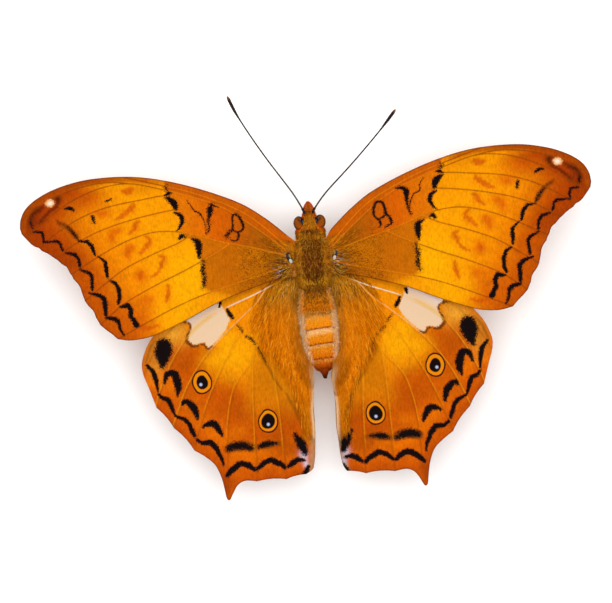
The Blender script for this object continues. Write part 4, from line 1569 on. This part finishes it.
@dataclass
class Legs:
    """Six legs: four that stand on the floor, and the small pair folded to the breast, all in tan scales."""

    plan: Plan
    scales: Material
    hair: Material
    rows: int = 150
    sides: int = 14
    hairs: int = 420

    def build(self) -> None:
        """Adds each leg with its hair."""
        for kind, stations in LEG_PATHS.items():
            for side in Side:
                self.leg(kind, side, np.array(stations))

    def leg(self, kind: str, side: Side, stations: Array) -> None:
        """One leg: a limb along its stations, waisted a little at its joints, with hair along it."""
        line = curve(stations, self.rows)
        path = self.plan.trunk(side.value * line[:, 0], line[:, 1], line[:, 2])
        joints = self.plan.trunk(side.value * stations[:, 0], stations[:, 1], stations[:, 2])
        near = np.min(np.linalg.norm(path[:, None] - joints[None, 2:], axis=2), axis=1)
        radius = np.maximum(line[:, 3] * (1 - 0.2 * np.exp(-(near / 0.18) ** 2)), 0.05)
        path[:, 2] = np.maximum(path[:, 2], radius + 0.01)
        points, faces = tube(path, radius, self.sides)
        share = np.linspace(0, 1, self.rows)
        tint = ramp(share, {0: "C9A26A", 0.3: "B8802E", 0.6: "A4661E", 1: "6E3E14"})
        name = f"{kind}_{side.word}"
        add_tinted(points, faces, capped(np.repeat(tint, self.sides, axis=0)), f"{name}_limb", self.scales,
                   name, slot="leg_cuticle")
        count, last = self.hairs, self.rows - 1
        row, turn = GRAIN.random(count) * 0.9, GRAIN.random(count) * 2 * math.pi
        index, places = row * last, np.arange(self.rows)
        root = np.column_stack([np.interp(index, places, column) for column in path.T])
        ahead = np.column_stack([np.interp(np.minimum(index + 2, last), places, column) for column in path.T])
        flow = unit(ahead - root)
        across = unit(np.cross(flow, UPRIGHT))
        normal = across * np.cos(turn)[:, None] + np.cross(across, flow) * np.sin(turn)[:, None]
        size = np.interp(index, places, radius)
        length = np.where(kind == "foreleg", 0.5, 0.32) * (0.6 + 0.8 * GRAIN.random(count))
        # The feet, which stand on the floor, stay bare
        high = root[:, 2] > 0.7
        tints = ramp(row, {0: "D2B080", 0.4: "B07A30", 1: "5E3410"})
        tints *= (0.7 + 0.6 * GRAIN.random(count))[:, None]
        patch = np.column_stack([row, turn / (2 * math.pi)])
        root += normal * size[:, None] * 0.95
        Coat(self.hair, "leg_cuticle").grow(f"{name}_hair", root[high], normal[high], flow[high],
                                            length[high], 0.05, tints[high], patch[high], 0.45, 0.1)


# The plates at a forewing's root: out, fore and height, the half sizes, and the colour
PLATES = {
    "dark": ((3.66, 2.3, 9.3), (0.44, 0.94, 0.13), "0A0709"),
    "pale": ((3.48, 1.76, 9.35), (0.26, 0.4, 0.16), "C6BEB0"),
    "gold": ((3.55, 2.52, 9.34), (0.2, 0.42, 0.15), "96701E"),
}


@dataclass
class Hinges:
    """The bare plates at each forewing's root: a black dome with a smaller pale one and a gold one on it."""

    plan: Plan
    horn: Material
    lean: float = 0.35

    def build(self) -> None:
        """Adds the plates on both sides."""
        for side in Side:
            for word in PLATES:
                self.plate(side, word)

    def plate(self, side: Side, word: str) -> None:
        """A smooth dome: an ellipsoid about a centre on the trunk's plan, its fore end leant to one side."""
        (out, fore, height), radii, colour = PLATES[word]
        centre = self.plan.trunk(np.array(side.value * out), np.array(fore), np.array(height))
        points, faces = ellipsoid(centre, np.array(radii), 20, 32, 0.08, self.lean * side.value)
        tint = np.tile(linear(colour), (len(points), 1))
        add_tinted(points, faces, tint, f"hinge_plate_{word}_{side.word}", self.horn, slot="wing_scales")


@dataclass
class WingHair:
    """The long hair on the wings' bases and beside the abdomen, which lies towards the margin."""

    fore: Wing
    hind: Wing
    hair: Material
    fore_count: int = 8000
    hind_count: int = 11500

    def build(self) -> None:
        """Adds one piece of hair to each wing."""
        self.hind_hair()
        self.fore_hair()

    def hind_hair(self) -> None:
        """Hair over the hindwing's inner third: long, golden, and combed back from the root."""
        count = self.hind_count
        along = 1 - (1 - GRAIN.random(count)) ** 0.75
        fore = -0.8 - 25.0 * along
        edge = self.hind.inner_edge(fore)
        reach = np.interp(fore, [-24, -20, -16, -11, -7, -3, -1], [1.6, 2.2, 3.2, 4.8, 5.6, 5.0, 3.0])
        across = np.minimum(np.abs(GRAIN.normal(0, 0.5, count)), 1.3)
        spots = np.column_stack([edge + reach * across, fore])
        roots, normals = self.hind.surface(spots)
        inward = smooth(0.3, 0.0, across) * smooth(-16, -13.5, fore)
        lean = 0.04 + 0.45 * across * smooth(-18, -4, fore) - 0.25 * inward
        ahead, _ = self.hind.surface(spots + np.column_stack([lean, -np.ones(count)]) * 0.3)
        flow = ahead - roots + 0.02 * GRAIN.standard_normal((count, 3))
        lane = np.column_stack([across * 9, 0.12 * fore])
        pick = np.clip(0.5 + 0.2 * ripple(lane, 1.0, 1.0) + 0.2 * GRAIN.standard_normal(count), 0, 1)
        tint = ramp(pick, {0: "B05600", 0.3: "CC6800", 0.6: "DE7C02", 0.85: "EE920A", 1: "F8B038"})
        tint *= ((1 - 0.2 * smooth(-17, -22, fore)) * (1 + 0.22 * smooth(0.6, 1.1, across)))[:, None]
        sooty = 0.26 * (1 - 0.7 * smooth(0.5, 0.9, across))
        tint = layered(
            tint,
            ("A0700E", 0.5 * smooth(-5.5, -1, fore)),
            ("9A740E", 0.4 * smooth(-9, -2, fore) * (GRAIN.random(count) < 0.45)),
            ("1C140A", smooth(-7.5, -2, fore) * (GRAIN.random(count) < sooty) * 0.9),
            ("E8B860", smooth(-5.5, -2, fore) * (GRAIN.random(count) < 0.08) * 0.8),
            ("EEA63C", 0.5 * smooth(0.35, 0.0, across) * (GRAIN.random(count) < 0.5)),
            ("F4D0A0", 0.75 * smooth(0.8, 0.1, spots[:, 0] - edge) * smooth(-13, -15.5, fore)),
            ("62400C", 0.35 * smooth(0.3, -0.15, drawn(spots, HIND_SHADES[:2]))))
        length = (1.4 + 1.5 * GRAIN.random(count)) * np.interp(fore, [-24, -18, -5, -1], [0.6, 0.9, 1.0, 0.5])
        patch = np.column_stack([spots[:, 0] / 12, -fore / COAT_LENGTH])
        name = f"hindwing_{self.hind.side.word}_hair"
        Coat(self.hair, "wing_scales").grow(name, roots, normals, flow, length, 0.08, tint, patch,
                                            0.1 + 0.3 * inward, 0.11)

    def fore_hair(self) -> None:
        """Short hair-like scales over the forewing's base, dusky and gold."""
        spots = scatter(self.fore_count, (1.8, -1.6), (11.0, 6.5))
        density = 0.85 * np.exp(-((spots[:, 0] - 1.8) / 3.0) ** 2) + 0.02
        outline = np.array(((1.9, -0.3), (1.9, 4.0), (4.0, 5.0), (8.0, 6.2), (11.0, 6.2), (11.0, -2.2),
                            (6.5, -1.0), (4.2, -0.6)))
        keep = (within(spots, outline) < 0) & (GRAIN.random(self.fore_count) < density)
        spots = spots[keep]
        roots, normals = self.fore.surface(spots)
        ahead, _ = self.fore.surface(spots + 0.3 * unit(spots - [1.0, 1.6]))
        flow = ahead - roots + 0.05 * GRAIN.standard_normal((len(spots), 3))
        tint = ramp(GRAIN.random(len(spots)), {0: "8E4A04", 0.3: "BA6202", 0.7: "CE7402", 1: "E89E1E"})
        near = np.exp(-(np.linalg.norm((spots - [4.2, 0.4]) / [1.0, 1.25], axis=1) / 1.8) ** 2)
        pick = GRAIN.random(len(spots))
        tint = layered(tint, ("1C161A", near * (pick < 0.56)), ("D8A030", near * (pick > 0.7)),
                       ("C8B0C0", near * (pick > 0.965)))
        length = (0.45 + 0.5 * GRAIN.random(len(spots))) * (1 + 0.4 * near)
        patch = np.column_stack([spots[:, 0] / 14, (spots[:, 1] + 3) / 12])
        name = f"forewing_{self.fore.side.word}_hair"
        Coat(self.hair, "wing_scales").grow(name, roots, normals, flow, length, 0.08, tint, patch, 0.14, 0.14)


# Studio


@dataclass
class Studio:
    """A pale floor, broad soft lights and the camera, which looks down, turned as the photograph is."""

    plan: Plan
    distance: float = 0.9
    roll_deg: float = 4.75
    centre: Pair = (1.2, -4.83)
    focus_height: float = 0.0095

    def build(self) -> None:
        """Adds the floor, the lights and the camera."""
        self.floor()
        self.light("key", 8.6, (0.06, -0.26, 0.9), 1.1)
        self.light("fill", 3.0, (-0.4, 0.25, 0.8), 0.9)
        world = bpy.context.scene.world or bpy.data.worlds.new("studio")
        bpy.context.scene.world = world
        world.use_nodes = True
        background = world.node_tree.nodes["Background"]
        background.inputs["Color"].default_value = (1, 1, 1, 1)
        background.inputs["Strength"].default_value = 0.78
        bpy.context.scene.view_settings.view_transform = "Standard"
        self.camera()

    def floor(self) -> None:
        """A wide matt board under the feet."""
        mesh = bpy.data.meshes.new("floor")
        corners = [(-2, -2, -0.0001), (2, -2, -0.0001), (2, 2, -0.0001), (-2, 2, -0.0001)]
        mesh.from_pydata(corners, [], [(0, 1, 2, 3)])
        floor = bpy.data.objects.new("floor", mesh)
        bpy.context.scene.collection.objects.link(floor)
        # Painted board: an even white with no highlight, on which only soft shadows show
        material = bpy.data.materials.new("matt white board")
        material.use_nodes = True
        shader = material.node_tree.nodes["Principled BSDF"]
        shader.inputs["Base Color"].default_value = (0.96, 0.96, 0.95, 1)
        shader.inputs["Roughness"].default_value = 0.9
        mesh.materials.append(material)

    def light(self, name: str, watts: float, place: Triple, size: float) -> None:
        """A square soft light that faces the butterfly."""
        lamp = bpy.data.lights.new(name, "AREA")
        lamp.energy = watts * place[2] ** 2
        lamp.size = size
        obj = bpy.data.objects.new(name, lamp)
        obj.location = place
        x, y, z = place
        obj.rotation_euler = (math.atan2(math.hypot(x, y), z), 0, math.atan2(x, -y))
        bpy.context.scene.collection.objects.link(obj)

    def camera(self) -> None:
        """Straight above, with the head towards the top of the picture."""
        camera = bpy.data.cameras.new("camera")
        camera.sensor_width = 36
        width = IMAGE_WIDTH / PIXELS_PER_MM * MM
        camera.lens = camera.sensor_width * self.distance / width
        camera.clip_end = 20
        obj = bpy.data.objects.new("camera", camera)
        x, y, _ = self.plan.place(1.0, np.array(self.centre[0]), np.array(self.centre[1]), np.array(0.0)) * MM
        obj.location = (x, y, self.distance + self.focus_height)
        obj.rotation_euler = (0, 0, math.pi - math.radians(self.roll_deg))
        bpy.context.scene.collection.objects.link(obj)
        bpy.context.scene.camera = obj


def main() -> None:
    """Builds the butterfly piece by piece, then the studio."""
    logging.basicConfig(level=logging.INFO, format="%(message)s")
    plan = Plan()
    # Shingled scales of pigmented chitin: a velvety colour without shine, its grain drawn out along the body
    upper = WingScales("wing scales, upper side", roughness=0.7, contrast=0.2, specular=0.02, fine_mm=0.25,
                       stretch=(1.0, 0.35, 1.0)).build()
    # The same scales on the lower side: a paler velvet, with brown for the ink
    under = WingScales("wing scales, under side", roughness=0.7, contrast=0.24, specular=0.02, ink="7A3A1E",
                       speck="8A5020").build()
    # Hair of chitin: matt, and smooth in itself, since the tufts are its relief
    hair = Finish("hair of the body and wings", roughness=0.8, contrast=0.12, bump_mm=0.0,
                  specular=0.03).build()
    # Cuticle under flat scales: matt, with a coarse grain between the hairs
    skin = Finish("scaled skin", roughness=0.7, contrast=0.25, specular=0.08).build()
    # Cuticle with few scales: dark, with a fine grain and a soft gleam along the feelers
    cuticle = Finish("dark scaled cuticle", roughness=0.5, fine_mm=0.1, contrast=0.2, specular=0.1).build()
    # Lenses of clear cuticle: a honeycomb over brown, nearly without shine from above
    facets = EyeFacets("compound eye", roughness=0.4, bump_mm=0.008, specular=0.01).build()
    # Cuticle without scales: a narrow highlight, as on horn
    horn = Finish("bare shiny cuticle", roughness=0.35, fine_mm=0.12, contrast=0.4, bump_mm=0.02,
                  specular=0.2).build()
    Studio(plan).build()
    Trunk(plan, skin, hair).build()
    Head(plan, facets, cuticle, skin, hair).build()
    Hinges(plan, horn).build()
    Legs(plan, skin, hair).build()
    for side in Side:
        fore, hind = Forewing(side, plan, upper, under), Hindwing(side, plan, upper, under)
        fore.build()
        hind.build()
        WingHair(fore, hind, hair).build()


if __name__ == "__main__":
    main()
